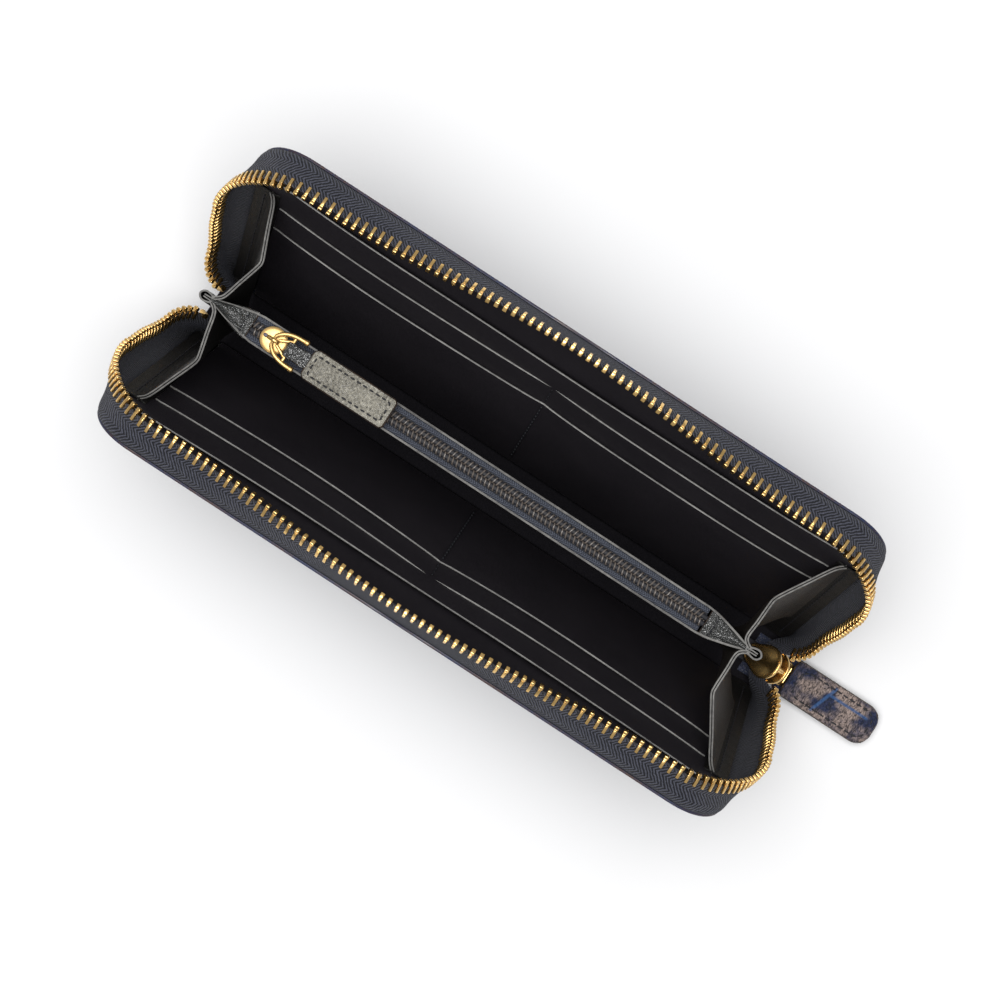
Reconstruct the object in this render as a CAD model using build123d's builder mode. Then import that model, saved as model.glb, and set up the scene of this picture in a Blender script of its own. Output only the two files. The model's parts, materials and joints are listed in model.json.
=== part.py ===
"""A long zip around wallet that stands on its spine with both covers open in a V.

+X runs along the spine towards the end where the main zip opens, +Y towards the back
cover and +Z up.  The origin is the middle of the spine's underside.  Millimetres.

Everything on the back cover is drawn on planes that lean with the cover.  On such a
plane x runs along the spine, y up the cover from its hinge line, and the plane's depth
is counted from the hinge line towards the other cover.  The front cover's pieces are
mirror images, except the teeth, which sit half a pitch along so that they can mesh.
"""

from build123d import *

import math
import os

os.makedirs("parts", exist_ok=True)

# Overall sizes
WALLET_LENGTH = 196.0
COVER_HEIGHT = 96.0
COVER_CORNER = 14.0
POCKET_CORNER = 1.0
COVER_OPEN_ANGLE = 20.2
HALF_LENGTH = WALLET_LENGTH / 2

# Hinge line of each cover
HINGE_Y = 10.0
HINGE_Z = 2.5
HINGE_GAP = 0.8

# Layers, from the outside in: depth of the outer face from the hinge line, thickness
LEATHER_DEPTH, LEATHER = -2.5, 1.2
BOARD_DEPTH, BOARD = -1.2, 0.8
LINING_DEPTH, LINING = -0.3, 0.6
BILL_POCKET_DEPTH, POCKET_SHEET = 0.4, 0.6
UPPER_CARD_DEPTH = 1.1
LOWER_CARD_DEPTH = 1.8
BILL_POCKET_TOP = 77.0
UPPER_CARD_TOP = 64.0
LOWER_CARD_TOP = 52.0
POCKET_BOTTOM = 1.5
CARD_HALF_WIDTH = 86.0
BINDING_DEPTH, BINDING = 1.1, 0.6
BINDING_WIDTH = 5.0
BINDING_INSET = 4.0
BOARD_INSET = 1.5
LINING_INSET = 1.0
BILL_POCKET_INSET = 3.5

# Spine
SPINE_FLAT = HINGE_Y
SPINE_LIP_ANGLE = 80.0
ZIP_NOTCH_LENGTH = 8.0
ZIP_NOTCH_WIDTH = 13.0

# Main zip: path of the free edge of its tape, seen square on to a closed cover
ZIP_EDGE_X = 103.2
ZIP_BEND_RADIUS = 22.0
ZIP_BEND_Z = 26.35
ZIP_CORNER_X = 84.0
ZIP_CORNER_RISE = 82.0
ZIP_TOP_RISE = 98.5
ZIP_BOW = 6.2
ZIP_MESHED_DEPTH = 8.0
ZIP_SPLIT_DEPTH = 6.0
ZIP_CORNER_DEPTH = 7.1
ZIP_MIDDLE_DEPTH = 5.0
ZIP_SPLIT_FROM, ZIP_SPLIT_TO = 17.5, 25.0
ZIP_REJOIN_FROM, ZIP_REJOIN_TO = 33.0, 50.0
ZIP_SEWN_DEPTH = 0.9
ZIP_SEWN_X = 97.0
ZIP_SEWN_TOP = 94.8
ZIP_SIDE_SPREAD, ZIP_TOP_SPREAD = 0.15, 0.9
ZIP_KNEE = 3.6
TAPE = 0.7
STOP_END_ANGLE = 43.0
OPEN_END_ANGLE = 30.0
TOOTH_PITCH = 2.8
TOOTH_LENGTH = 2.2
TOOTH_STEM = 0.9
TOOTH_HEAD = 1.25
TOOTH_HEAD_LENGTH = 1.0
TOOTH_DEPTH = 1.2
TOOTH_GAP = 0.2
TOOTH_START = 2.0
TOOTH_END = 0.5
TOP_STOP_LENGTH = 1.6
TOP_STOP_REACH = 1.6
TOP_STOP_CORNER = 0.3
TOP_STOP_PLACE = 0.5
BOTTOM_STOP_LENGTH = 3.0
BOTTOM_STOP_WIDTH = 4.6
BOTTOM_STOP_HEIGHT = 1.2
BOTTOM_STOP_CORNER = 0.6
BOTTOM_STOP_INSET = 3.0
BOTTOM_STOP_CLEARANCE = 0.3

# Coin pocket, fixed to the spine between the covers
COIN_LEFT_X, COIN_RIGHT_X = -92.2, 83.4
COIN_HALF_WIDTH = 4.2
COIN_TAPER = 12.8
COIN_PINCH = 0.9
COIN_WALL = 0.8
COIN_BOTTOM_Z, COIN_TOP_Z = 3.0, 69.0
COIN_TAPE_Z = 68.0
COIN_TAPE = 0.6
COIN_TAPE_EDGE = 0.5
COIN_COIL = 1.2
COIN_ZIP_LEFT, COIN_ZIP_RIGHT = -78.0, 69.5

# Gussets: eight panels, two for each cover at each end
GUSSET_X = 90.7
GUSSET_DEPTH = 3.0
GUSSET_TOP = 70.5
GUSSET_WIDTH = 17.6
GUSSET_SHEET = 0.8
GUSSET_PINCH_Y = 1.5
GUSSET_FOLD_SHARE = 0.13
GUSSET_HINGE_SHARE = 0.035
GUSSET_BOTTOM_LEFT, GUSSET_BOTTOM_RIGHT = 7.0, 20.0

# Main slider, on the bend of the zip at the open end
SLIDER_REST_ANGLE = 50.0
SLIDER_CHANNEL = 2.0
SLIDER_PLATE = 1.0
SLIDER_FRONT_RADIUS, SLIDER_FRONT_AT = 5.0, 1.5
SLIDER_REAR_RADIUS, SLIDER_REAR_AT = 3.3, -3.4
PULL_LINK_LENGTH = 6.0
PULL_WIDTH = 11.5
PULL_LENGTH = 34.0
PULL_SHEET = 1.0
PULL_CORE = 1.2
WIRE_RADIUS = 0.6

# Coin slider
COIN_SLIDER_X = -70.0
COIN_SLIDER_RADIUS_X, COIN_SLIDER_RADIUS_Y = 3.7, 3.5
COIN_PLATE_Z, COIN_PLATE = 70.2, 1.2
COIN_PIN_Z = 72.2
COIN_BAR_X = -65.0
COIN_BAR_HALF = 3.05
COIN_SHOULDER_X = -58.7
COIN_BAR_RADIUS = 0.45
COIN_TAB_END_X = -33.0
COIN_TAB_WIDTH = 8.4
COIN_TAB_SHEET = 0.9

TILT_SIN = math.sin(math.radians(COVER_OPEN_ANGLE))
TILT_COS = math.cos(math.radians(COVER_OPEN_ANGLE))


def save(piece, node):
    """Label a finished piece and write it under its node's name."""
    piece.part.label = node
    export_step(piece.part, f"parts/{node}.step")


def save_both_covers(piece, name):
    """Write a back cover piece, and its mirror image for the front cover."""
    save(piece, f"back_{name}")
    with BuildPart() as front_piece:
        mirror(piece.part, about=Plane.XZ)
    save(front_piece, f"front_{name}")


# ---------------------------------------------------------------- covers


def on_cover(x, rise, depth):
    """Point of the open back cover."""
    y = HINGE_Y + rise * TILT_SIN - depth * TILT_COS
    z = HINGE_Z + rise * TILT_COS + depth * TILT_SIN
    return Vector(x, y, z)


def cover_plane(depth):
    """Plane parallel to the open back cover, facing the other cover."""
    return Plane(
        origin=on_cover(0, 0, depth), x_dir=(1, 0, 0), z_dir=(0, -TILT_COS, TILT_SIN)
    )


def cover_sheet(depth, thickness, half_width, bottom, top, corner):
    """One flat layer of the back cover with rounded upper corners."""
    with BuildPart() as sheet:
        with BuildSketch(cover_plane(depth)):
            with BuildLine():
                Polyline(
                    (-half_width, bottom),
                    (-half_width, top),
                    (half_width, top),
                    (half_width, bottom),
                    close=True,
                )
            make_face()
            fillet(vertices().group_by(Axis.Y)[-1], corner)
        extrude(amount=thickness)
    return sheet


def make_cover_layers():
    """Outer leather, stiffener, lining and the flat pockets of both covers."""
    leather = cover_sheet(
        LEATHER_DEPTH, LEATHER, HALF_LENGTH, HINGE_GAP, COVER_HEIGHT, COVER_CORNER
    )
    save_both_covers(leather, "cover_leather")
    board = cover_sheet(
        BOARD_DEPTH,
        BOARD,
        HALF_LENGTH - BOARD_INSET,
        HINGE_GAP,
        COVER_HEIGHT - BOARD_INSET,
        COVER_CORNER - BOARD_INSET,
    )
    save_both_covers(board, "cover_board")
    lining = cover_sheet(
        LINING_DEPTH,
        LINING,
        HALF_LENGTH - LINING_INSET,
        HINGE_GAP,
        COVER_HEIGHT - LINING_INSET,
        COVER_CORNER - LINING_INSET,
    )
    save_both_covers(lining, "cover_lining")
    pockets = {
        "bill_pocket": (BILL_POCKET_DEPTH, HALF_LENGTH - BILL_POCKET_INSET, BILL_POCKET_TOP),
        "upper_card_pocket": (UPPER_CARD_DEPTH, CARD_HALF_WIDTH, UPPER_CARD_TOP),
        "lower_card_pocket": (LOWER_CARD_DEPTH, CARD_HALF_WIDTH, LOWER_CARD_TOP),
    }
    for name, (depth, half_width, top) in pockets.items():
        pocket = cover_sheet(depth, POCKET_SHEET, half_width, POCKET_BOTTOM, top, POCKET_CORNER)
        save_both_covers(pocket, name)


def make_bindings():
    """Stitched strips that cover the sewn edge of the tape at both ends."""
    ends = {"left": (-1, GUSSET_BOTTOM_LEFT), "right": (1, GUSSET_BOTTOM_RIGHT)}
    for end, (side, bottom) in ends.items():
        outer = side * (HALF_LENGTH - BINDING_INSET)
        inner = outer - side * BINDING_WIDTH
        with BuildPart() as binding:
            with BuildSketch(cover_plane(BINDING_DEPTH)):
                with BuildLine():
                    Polyline(
                        (inner, bottom),
                        (inner, GUSSET_TOP),
                        (outer, GUSSET_TOP),
                        (outer, bottom),
                        close=True,
                    )
                make_face()
            extrude(amount=BINDING)
        save_both_covers(binding, f"{end}_binding")


# ---------------------------------------------------------------- spine


def spine_sheet(lower_z, thickness, half_width):
    """One flat layer of the spine with the notch for the zip's open end."""
    with BuildPart() as sheet:
        with BuildSketch(Plane.XY.offset(lower_z)):
            Rectangle(WALLET_LENGTH, 2 * half_width)
            with Locations((HALF_LENGTH, 0)):
                Rectangle(2 * ZIP_NOTCH_LENGTH, ZIP_NOTCH_WIDTH, mode=Mode.SUBTRACT)
        extrude(amount=thickness)
    return sheet


def make_spine():
    """Spine leather with its turned-up lips, the stiffener and the lining."""
    with BuildPart() as leather:
        with BuildSketch(Plane.YZ.offset(-HALF_LENGTH)):
            with Locations((0, LEATHER / 2)):
                Rectangle(2 * SPINE_FLAT, LEATHER)
            for side in (-1, 1):
                start = -90
                sweep_angle = side * SPINE_LIP_ANGLE
                with BuildLine():
                    outer = CenterArc(
                        (side * SPINE_FLAT, HINGE_Z), HINGE_Z, start, sweep_angle
                    )
                    inner = CenterArc(
                        (side * SPINE_FLAT, HINGE_Z), HINGE_Z - LEATHER, start, sweep_angle
                    )
                    Line(outer @ 0, inner @ 0)
                    Line(outer @ 1, inner @ 1)
                make_face()
        extrude(amount=WALLET_LENGTH)
        with BuildSketch(Plane.XY):
            with Locations((HALF_LENGTH, 0)):
                Rectangle(2 * ZIP_NOTCH_LENGTH, ZIP_NOTCH_WIDTH)
        extrude(amount=LEATHER, mode=Mode.SUBTRACT)
    save(leather, "spine_leather")
    save(spine_sheet(LEATHER + 0.1, BOARD, SPINE_FLAT - 1.6), "spine_board")
    save(spine_sheet(LEATHER + BOARD + 0.2, LINING, SPINE_FLAT - 1.2), "spine_lining")


# ---------------------------------------------------------------- main zip


def smooth_step(value, start, end):
    """0 below start, 1 above end, and a smooth turn between."""
    share = min(max((value - start) / (end - start), 0.0), 1.0)
    return share * share * (3 - 2 * share)


def bow(x):
    """Share of the slack in the middle of the long side: 0 at the corners, 1 halfway."""
    return math.cos(math.pi * min(abs(x) / ZIP_CORNER_X, 1.0) / 2) ** 2


def tape_depth(rise):
    """How far the tape's free edge stands in from the hinge plane on the short sides."""
    split = smooth_step(rise, ZIP_SPLIT_FROM, ZIP_SPLIT_TO)
    rejoin = smooth_step(rise, ZIP_REJOIN_FROM, ZIP_REJOIN_TO)
    depth = ZIP_MESHED_DEPTH + split * (ZIP_SPLIT_DEPTH - ZIP_MESHED_DEPTH)
    return depth + rejoin * (ZIP_CORNER_DEPTH - ZIP_SPLIT_DEPTH)


def side_stations(end_angle):
    """Free edge and sewn edge of the tape from one short side's lower end to mid length."""
    bend_x = ZIP_EDGE_X - ZIP_BEND_RADIUS
    bend_rise = ZIP_BEND_Z - HINGE_Z
    stations = []
    for step in range(6):
        angle = math.radians(-end_angle * (1 - step / 6))
        x = bend_x + ZIP_BEND_RADIUS * math.cos(angle)
        rise = bend_rise + ZIP_BEND_RADIUS * math.sin(angle)
        stations.append(((x, rise, tape_depth(rise)), (ZIP_SEWN_X, rise)))
    straight = ZIP_CORNER_RISE - bend_rise
    for step in range(14):
        rise = bend_rise + straight * step / 14
        stations.append(((ZIP_EDGE_X, rise, tape_depth(rise)), (ZIP_SEWN_X, rise)))
    for step in range(9):
        angle = math.radians(90 * step / 9)
        free_x = ZIP_CORNER_X + (ZIP_EDGE_X - ZIP_CORNER_X) * math.cos(angle)
        free_rise = ZIP_CORNER_RISE + (ZIP_TOP_RISE - ZIP_CORNER_RISE) * math.sin(angle)
        sewn_x = ZIP_CORNER_X + (ZIP_SEWN_X - ZIP_CORNER_X) * math.cos(angle)
        sewn_rise = ZIP_CORNER_RISE + (ZIP_SEWN_TOP - ZIP_CORNER_RISE) * math.sin(angle)
        stations.append(((free_x, free_rise, ZIP_CORNER_DEPTH), (sewn_x, sewn_rise)))
    for step in range(12):
        x = ZIP_CORNER_X * (1 - step / 12)
        depth = ZIP_CORNER_DEPTH + bow(x) * (ZIP_MIDDLE_DEPTH - ZIP_CORNER_DEPTH)
        rise = ZIP_TOP_RISE + ZIP_BOW * bow(x)
        stations.append(((x, rise, depth), (x, ZIP_SEWN_TOP)))
    return stations


def zip_stations():
    """The whole tape edge, from the stop end on the left to the open end on the right."""
    left = [
        ((-free[0], free[1], free[2]), (-sewn[0], sewn[1]))
        for free, sewn in side_stations(STOP_END_ANGLE)
    ]
    right = side_stations(OPEN_END_ANGLE)
    middle = ((0.0, ZIP_TOP_RISE + ZIP_BOW, ZIP_MIDDLE_DEPTH), (0.0, ZIP_SEWN_TOP))
    return left + [middle] + right[::-1]


def tape_row(station):
    """Sewn edge, knee and free edge of the tape where the station is."""
    (free_x, free_rise, free_depth), (sewn_x, sewn_rise) = station
    sewn = Vector(sewn_x, sewn_rise, ZIP_SEWN_DEPTH)
    free = Vector(free_x, free_rise, free_depth)
    on_top = free_rise >= ZIP_TOP_RISE
    spread = ZIP_SIDE_SPREAD + (ZIP_TOP_SPREAD - ZIP_SIDE_SPREAD) * bow(free_x) * on_top
    out = Vector(free_x - sewn_x, free_rise - sewn_rise, 0) * spread
    end_direction = (out + Vector(0, 0, free_depth - ZIP_SEWN_DEPTH)).normalized()
    knee = free - end_direction * ZIP_KNEE
    return [on_cover(*point) for point in (sewn, knee, free)]


def tape_section(row):
    """Plane and outline of the tape's cut across one station."""
    sewn, knee, free = row
    first = knee - sewn
    plane = Plane(origin=sewn, x_dir=first, z_dir=first.cross(free - sewn))
    tip = plane.to_local_coords(free)
    turn = math.atan2(tip.Y, tip.X - first.length)
    half = TAPE / 2
    mitre = half * math.tan(turn / 2)
    across = Vector(-math.sin(turn), math.cos(turn)) * half
    outline = [
        (0, half),
        (first.length - mitre, half),
        (tip.X + across.X, tip.Y + across.Y),
        (tip.X - across.X, tip.Y - across.Y),
        (first.length + mitre, -half),
        (0, -half),
    ]
    return plane, outline


def tooth_planes(edge, first, across_at):
    """Where each tooth of a row goes: x along the zip, y towards the tooth's tip."""
    planes = []
    distance = first
    while distance < edge.length - TOOTH_END:
        origin = edge.position_at(distance, position_mode=PositionMode.LENGTH)
        tangent = edge.tangent_at(distance, position_mode=PositionMode.LENGTH)
        across = across_at(origin)
        normal = tangent.cross(across)
        planes.append(Plane(origin=origin, x_dir=tangent, z_dir=normal))
        distance += TOOTH_PITCH
    return planes


def make_tooth():
    """One tooth: a stem on the tape's edge and a wider head at its tip."""
    with BuildPart() as tooth:
        with BuildSketch(Plane.XY.offset(-TOOTH_DEPTH / 2)):
            with Locations((0, TOOTH_GAP + TOOTH_LENGTH / 2)):
                Rectangle(TOOTH_STEM, TOOTH_LENGTH)
            with Locations((0, TOOTH_GAP + TOOTH_LENGTH - TOOTH_HEAD_LENGTH / 2)):
                Rectangle(TOOTH_HEAD, TOOTH_HEAD_LENGTH)
        extrude(amount=TOOTH_DEPTH)
    return tooth


def make_main_zip():
    """Tapes, rows of teeth and top stops of the zip that runs round three sides."""
    rows = [tape_row(station) for station in zip_stations()]
    with BuildPart() as tape:
        for row in rows:
            plane, outline = tape_section(row)
            with BuildSketch(plane):
                with BuildLine():
                    Polyline(*outline, close=True)
                make_face()
        loft(ruled=True)
    save_both_covers(tape, "zip_tape")

    edge = Edge.make_spline([row[-1] for row in rows])

    def across_at(point):
        nearest = min(rows, key=lambda row: (row[-1] - point).length)
        return (nearest[-1] - nearest[-2]).normalized()

    tooth = make_tooth()
    with BuildPart() as back_teeth:
        places = [plane.location for plane in tooth_planes(edge, TOOTH_START, across_at)]
        with Locations(*places):
            add(tooth.part)
    save(back_teeth, "back_zip_teeth")
    with BuildPart(mode=Mode.PRIVATE) as shifted_teeth:
        first = TOOTH_START + TOOTH_PITCH / 2
        places = [plane.location for plane in tooth_planes(edge, first, across_at)]
        with Locations(*places):
            add(tooth.part)
    with BuildPart() as front_teeth:
        mirror(shifted_teeth.part, about=Plane.XZ)
    save(front_teeth, "front_zip_teeth")

    stop_plane = tooth_planes(edge, TOP_STOP_PLACE, across_at)[0]
    with BuildPart() as top_stop:
        with BuildSketch(stop_plane.offset(-TOOTH_DEPTH)):
            with Locations((-TOP_STOP_LENGTH / 2, TOOTH_GAP + TOP_STOP_REACH / 2)):
                RectangleRounded(TOP_STOP_LENGTH, TOP_STOP_REACH, TOP_STOP_CORNER)
        extrude(amount=2 * TOOTH_DEPTH)
    save_both_covers(top_stop, "zip_top_stop")

    with BuildPart() as bottom_stop:
        stop_low = LEATHER + BOARD + LINING + BOTTOM_STOP_CLEARANCE
        with BuildSketch(Plane.XY.offset(stop_low)):
            with Locations((HALF_LENGTH - ZIP_NOTCH_LENGTH - BOTTOM_STOP_INSET, 0)):
                RectangleRounded(BOTTOM_STOP_LENGTH, BOTTOM_STOP_WIDTH, BOTTOM_STOP_CORNER)
        extrude(amount=BOTTOM_STOP_HEIGHT)
    save(bottom_stop, "main_zip_bottom_stop")


# ---------------------------------------------------------------- coin pocket


def coin_outline(inset):
    """Back half of the pocket's outline seen from above, moved in by inset."""
    return [
        (COIN_LEFT_X, COIN_PINCH - inset),
        (COIN_LEFT_X + COIN_TAPER, COIN_HALF_WIDTH - inset),
        (COIN_RIGHT_X - COIN_TAPER, COIN_HALF_WIDTH - inset),
        (COIN_RIGHT_X, COIN_PINCH - inset),
    ]


def make_coin_pocket():
    """Walls, zip tapes, coils and end patches of the coin pocket."""
    with BuildPart() as back_wall:
        with BuildSketch(Plane.XY.offset(COIN_BOTTOM_Z)):
            with BuildLine():
                inner = coin_outline(COIN_WALL)
                Polyline(*coin_outline(0), *inner[::-1], close=True)
            make_face()
        extrude(amount=COIN_TOP_Z - COIN_BOTTOM_Z)
    save(back_wall, "coin_pocket_back_wall")
    with BuildPart() as front_wall:
        mirror(back_wall.part, about=Plane.XZ)
    save(front_wall, "coin_pocket_front_wall")

    zip_length = COIN_ZIP_RIGHT - COIN_ZIP_LEFT
    zip_middle = (COIN_ZIP_RIGHT + COIN_ZIP_LEFT) / 2
    tape_outer = COIN_HALF_WIDTH - COIN_WALL - 0.1
    for name, side in (("front", -1), ("back", 1)):
        with BuildPart() as tape:
            with BuildSketch(Plane.XY.offset(COIN_TAPE_Z)):
                with Locations((zip_middle, side * (COIN_TAPE_EDGE + tape_outer) / 2)):
                    Rectangle(zip_length, tape_outer - COIN_TAPE_EDGE)
            extrude(amount=COIN_TAPE)
        save(tape, f"coin_zip_{name}_tape")
        with BuildPart() as coil:
            with BuildSketch(Plane.YZ.offset(COIN_ZIP_LEFT + 1.0)):
                coil_y = side * (COIN_TAPE_EDGE + COIN_COIL / 2)
                with Locations((coil_y, COIN_TAPE_Z + COIN_TAPE + 0.05 + COIN_COIL / 2)):
                    RectangleRounded(COIN_COIL, COIN_COIL, COIN_COIL * 0.4)
            extrude(amount=zip_length - 2.0)
        save(coil, f"coin_zip_{name}_coil")

    pinches = {"left": (COIN_LEFT_X, COIN_ZIP_LEFT), "right": (COIN_RIGHT_X, COIN_ZIP_RIGHT)}
    for end, (pinch_x, zip_end_x) in pinches.items():
        inward = math.copysign(1, zip_end_x - pinch_x)
        with BuildPart() as patch:
            with BuildSketch(Plane.XY.offset(COIN_TOP_Z + 0.1)):
                with BuildLine():
                    Polyline(
                        (pinch_x + inward * 0.5, COIN_PINCH),
                        (pinch_x + inward * COIN_TAPER, COIN_HALF_WIDTH),
                        (zip_end_x + inward * 0.6, COIN_HALF_WIDTH),
                        (zip_end_x + inward * 0.6, -COIN_HALF_WIDTH),
                        (pinch_x + inward * COIN_TAPER, -COIN_HALF_WIDTH),
                        (pinch_x + inward * 0.5, -COIN_PINCH),
                        close=True,
                    )
                make_face()
            extrude(amount=COIN_WALL)
        save(patch, f"coin_pocket_{end}_patch")


# ---------------------------------------------------------------- gussets


def panel(corners, thickness):
    """Flat sheet whose middle plane passes through the given corners."""
    origin, along, across = corners[0], corners[1] - corners[0], corners[-1] - corners[0]
    middle = Plane(origin=origin, x_dir=along, z_dir=along.cross(across))
    flat = [middle.to_local_coords(corner) for corner in corners]
    with BuildPart() as sheet:
        with BuildSketch(middle.offset(-thickness / 2)):
            with BuildLine():
                Polyline(*[(corner.X, corner.Y) for corner in flat], close=True)
            make_face()
        extrude(amount=thickness)
    return sheet


def fold_top(side, pinch_x):
    """Where the two panels of a back gusset meet at their upper edge."""
    sewn = on_cover(side * GUSSET_X, GUSSET_TOP, GUSSET_DEPTH)
    pinch = Vector(pinch_x, GUSSET_PINCH_Y, sewn.Z)
    span = sewn - pinch
    inward = Vector(-side * span.Y, side * span.X, 0).normalized()
    reach = math.sqrt(GUSSET_WIDTH**2 - (span.length / 2) ** 2)
    return (sewn + pinch) * 0.5 + inward * reach


def fold_point(side, pinch_x, z):
    """Point of the fold line at a given height: it lies in both panels' planes."""
    top = fold_top(side, pinch_x)
    sewn = on_cover(side * GUSSET_X, GUSSET_TOP, GUSSET_DEPTH)
    outer_normal = Vector(0, TILT_SIN, TILT_COS).cross(top - sewn)
    inner_normal = Vector(0, 0, 1).cross(top - Vector(pinch_x, GUSSET_PINCH_Y, top.Z))
    direction = outer_normal.cross(inner_normal)
    return top + direction * ((z - top.Z) / direction.Z)


def sewn_point(side, z):
    """Point of the gusset's seam on the back cover at a given height."""
    start = on_cover(side * GUSSET_X, 0, GUSSET_DEPTH)
    rise = (z - start.Z) / TILT_COS
    return on_cover(side * GUSSET_X, rise, GUSSET_DEPTH)


def trimmed(hinge_point, fold):
    """The two ends of a panel's edge, cut back from its hinge and from the fold."""
    span = fold - hinge_point
    return hinge_point + span * GUSSET_HINGE_SHARE, fold - span * GUSSET_FOLD_SHARE


def gusset_panel(hinge_low, hinge_high, fold_low, fold_high):
    """One panel between a hinge line and the fold line."""
    low, high = trimmed(hinge_low, fold_low), trimmed(hinge_high, fold_high)
    return panel([low[0], low[1], high[1], high[0]], GUSSET_SHEET)


def make_gussets():
    """Outer panels hinged on the covers, inner panels hinged on the coin pocket."""
    top_z = on_cover(0, GUSSET_TOP, GUSSET_DEPTH).Z
    ends = {
        "left": (-1, COIN_LEFT_X, GUSSET_BOTTOM_LEFT),
        "right": (1, COIN_RIGHT_X, GUSSET_BOTTOM_RIGHT),
    }
    for end, (side, pinch_x, bottom) in ends.items():
        bottom_z = bottom + HINGE_Z
        fold_low = fold_point(side, pinch_x, bottom_z)
        fold_high = fold_point(side, pinch_x, top_z)
        sewn_low, sewn_high = sewn_point(side, bottom_z), sewn_point(side, top_z)
        outer = gusset_panel(sewn_low, sewn_high, fold_low, fold_high)
        save_both_covers(outer, f"{end}_outer_gusset")
        pinch_low = Vector(pinch_x, GUSSET_PINCH_Y, bottom_z)
        pinch_high = Vector(pinch_x, GUSSET_PINCH_Y, top_z)
        inner = gusset_panel(pinch_low, pinch_high, fold_low, fold_high)
        save_both_covers(inner, f"{end}_inner_gusset")


# ---------------------------------------------------------------- main slider


def slider_plane(height):
    """Plane across the main slider: x along the zip, height towards its outer side."""
    angle = math.radians(-SLIDER_REST_ANGLE)
    along = Vector(-math.sin(angle), 0, math.cos(angle))
    outward = Vector(math.cos(angle), 0, math.sin(angle))
    centre_x = ZIP_EDGE_X - ZIP_BEND_RADIUS + ZIP_BEND_RADIUS * math.cos(angle)
    centre_z = ZIP_BEND_Z + ZIP_BEND_RADIUS * math.sin(angle)
    origin = Vector(centre_x, 0, centre_z) + outward * height
    return Plane(origin=origin, x_dir=along, z_dir=outward)


def slider_plate_sketch():
    """Egg-shaped outline of the slider's plates, drawn in the open sketch."""
    with Locations((SLIDER_FRONT_AT, 0)):
        Circle(SLIDER_FRONT_RADIUS)
    with Locations((SLIDER_REAR_AT, 0)):
        Circle(SLIDER_REAR_RADIUS)
    make_hull()


def make_main_slider():
    """Slider body with its wedge, and the bridge that holds the pull."""
    with BuildPart() as body:
        with BuildSketch(slider_plane(-SLIDER_CHANNEL - SLIDER_PLATE)):
            slider_plate_sketch()
        extrude(amount=SLIDER_PLATE)
        with BuildSketch(slider_plane(SLIDER_CHANNEL)):
            slider_plate_sketch()
        extrude(amount=SLIDER_PLATE)
        with BuildSketch(slider_plane(-SLIDER_CHANNEL)):
            with Locations((SLIDER_FRONT_AT + SLIDER_FRONT_RADIUS - 1.8, 0)):
                Ellipse(1.5, 1.1)
        extrude(amount=2 * SLIDER_CHANNEL)
    save(body, "main_slider_body")

    outer_face = SLIDER_CHANNEL + SLIDER_PLATE
    arch_plane = slider_plane(outer_face)
    side_plane = Plane(
        origin=arch_plane.origin - arch_plane.y_dir * 1.1,
        x_dir=arch_plane.x_dir,
        z_dir=arch_plane.y_dir,
    )
    arch_side = math.copysign(1, side_plane.y_dir.dot(arch_plane.z_dir))
    with BuildPart() as bridge:
        with BuildSketch(side_plane):
            with Locations((0, arch_side * 1.55)):
                RectangleRounded(7.6, 2.9, 1.0)
            with Locations((0, arch_side * 1.0)):
                RectangleRounded(5.4, 2.0, 0.4, mode=Mode.SUBTRACT)
        extrude(amount=2.2)
    save(bridge, "main_slider_bridge")


def pull_pivot():
    """Where the pull's link turns in the bridge."""
    plane = slider_plane(SLIDER_CHANNEL + SLIDER_PLATE + 1.0)
    return plane.origin + plane.x_dir * 1.5


def pull_bar():
    """Centre of the link's outer bar, which the leather tab turns on."""
    pivot = pull_pivot()
    bar_z = 1.5 + PULL_SHEET + 0.05 + WIRE_RADIUS
    drop = pivot.Z - bar_z
    reach = math.sqrt(PULL_LINK_LENGTH**2 - drop**2)
    return Vector(pivot.X + reach, 0, bar_z)


def make_main_pull():
    """Wire link, and a leather tab of two sheets round a core."""
    pivot, bar = pull_pivot(), pull_bar()
    half_link = 3.2
    corner_points = [
        Vector(pivot.X, -half_link, pivot.Z),
        Vector(bar.X, -half_link, bar.Z),
        Vector(bar.X, half_link, bar.Z),
        Vector(pivot.X, half_link, pivot.Z),
    ]
    with BuildPart() as link:
        with BuildLine() as loop:
            FilletPolyline(*corner_points, radius=1.0, close=True)
        with BuildSketch(Plane(origin=loop.line @ 0, z_dir=loop.line % 0)):
            Circle(WIRE_RADIUS)
        sweep(path=loop.line)
    save(link, "main_pull_link")

    tab_start, tab_end = bar.X - 1.8, bar.X - 1.8 + PULL_LENGTH
    lower_z = bar.Z - WIRE_RADIUS - 0.05 - PULL_SHEET
    upper_z = bar.Z + WIRE_RADIUS + 0.05
    save(pull_sheet(lower_z, PULL_SHEET, tab_start, tab_end), "main_pull_outer_leather")
    behind_link = bar.X + WIRE_RADIUS + 0.2
    save(pull_sheet(upper_z, PULL_SHEET, behind_link, tab_end), "main_pull_inner_leather")
    core_z = bar.Z - PULL_CORE / 2
    save(pull_sheet(core_z, PULL_CORE, bar.X + 2.0, tab_end - 0.4), "main_pull_core")


def pull_sheet(lower_z, thickness, start_x, end_x):
    """One layer of the tab: nearly square at the link, fully rounded at the far end."""
    half = PULL_WIDTH / 2
    with BuildPart() as sheet:
        with BuildSketch(Plane.XY.offset(lower_z)):
            with BuildLine():
                Polyline(
                    (start_x, -half), (start_x, half), (end_x, half), (end_x, -half), close=True
                )
            make_face()
            fillet(vertices().group_by(Axis.X)[-1], half * 0.72)
            fillet(vertices().group_by(Axis.X)[0], 1.6)
        extrude(amount=thickness)
    return sheet


# ---------------------------------------------------------------- coin slider


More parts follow.
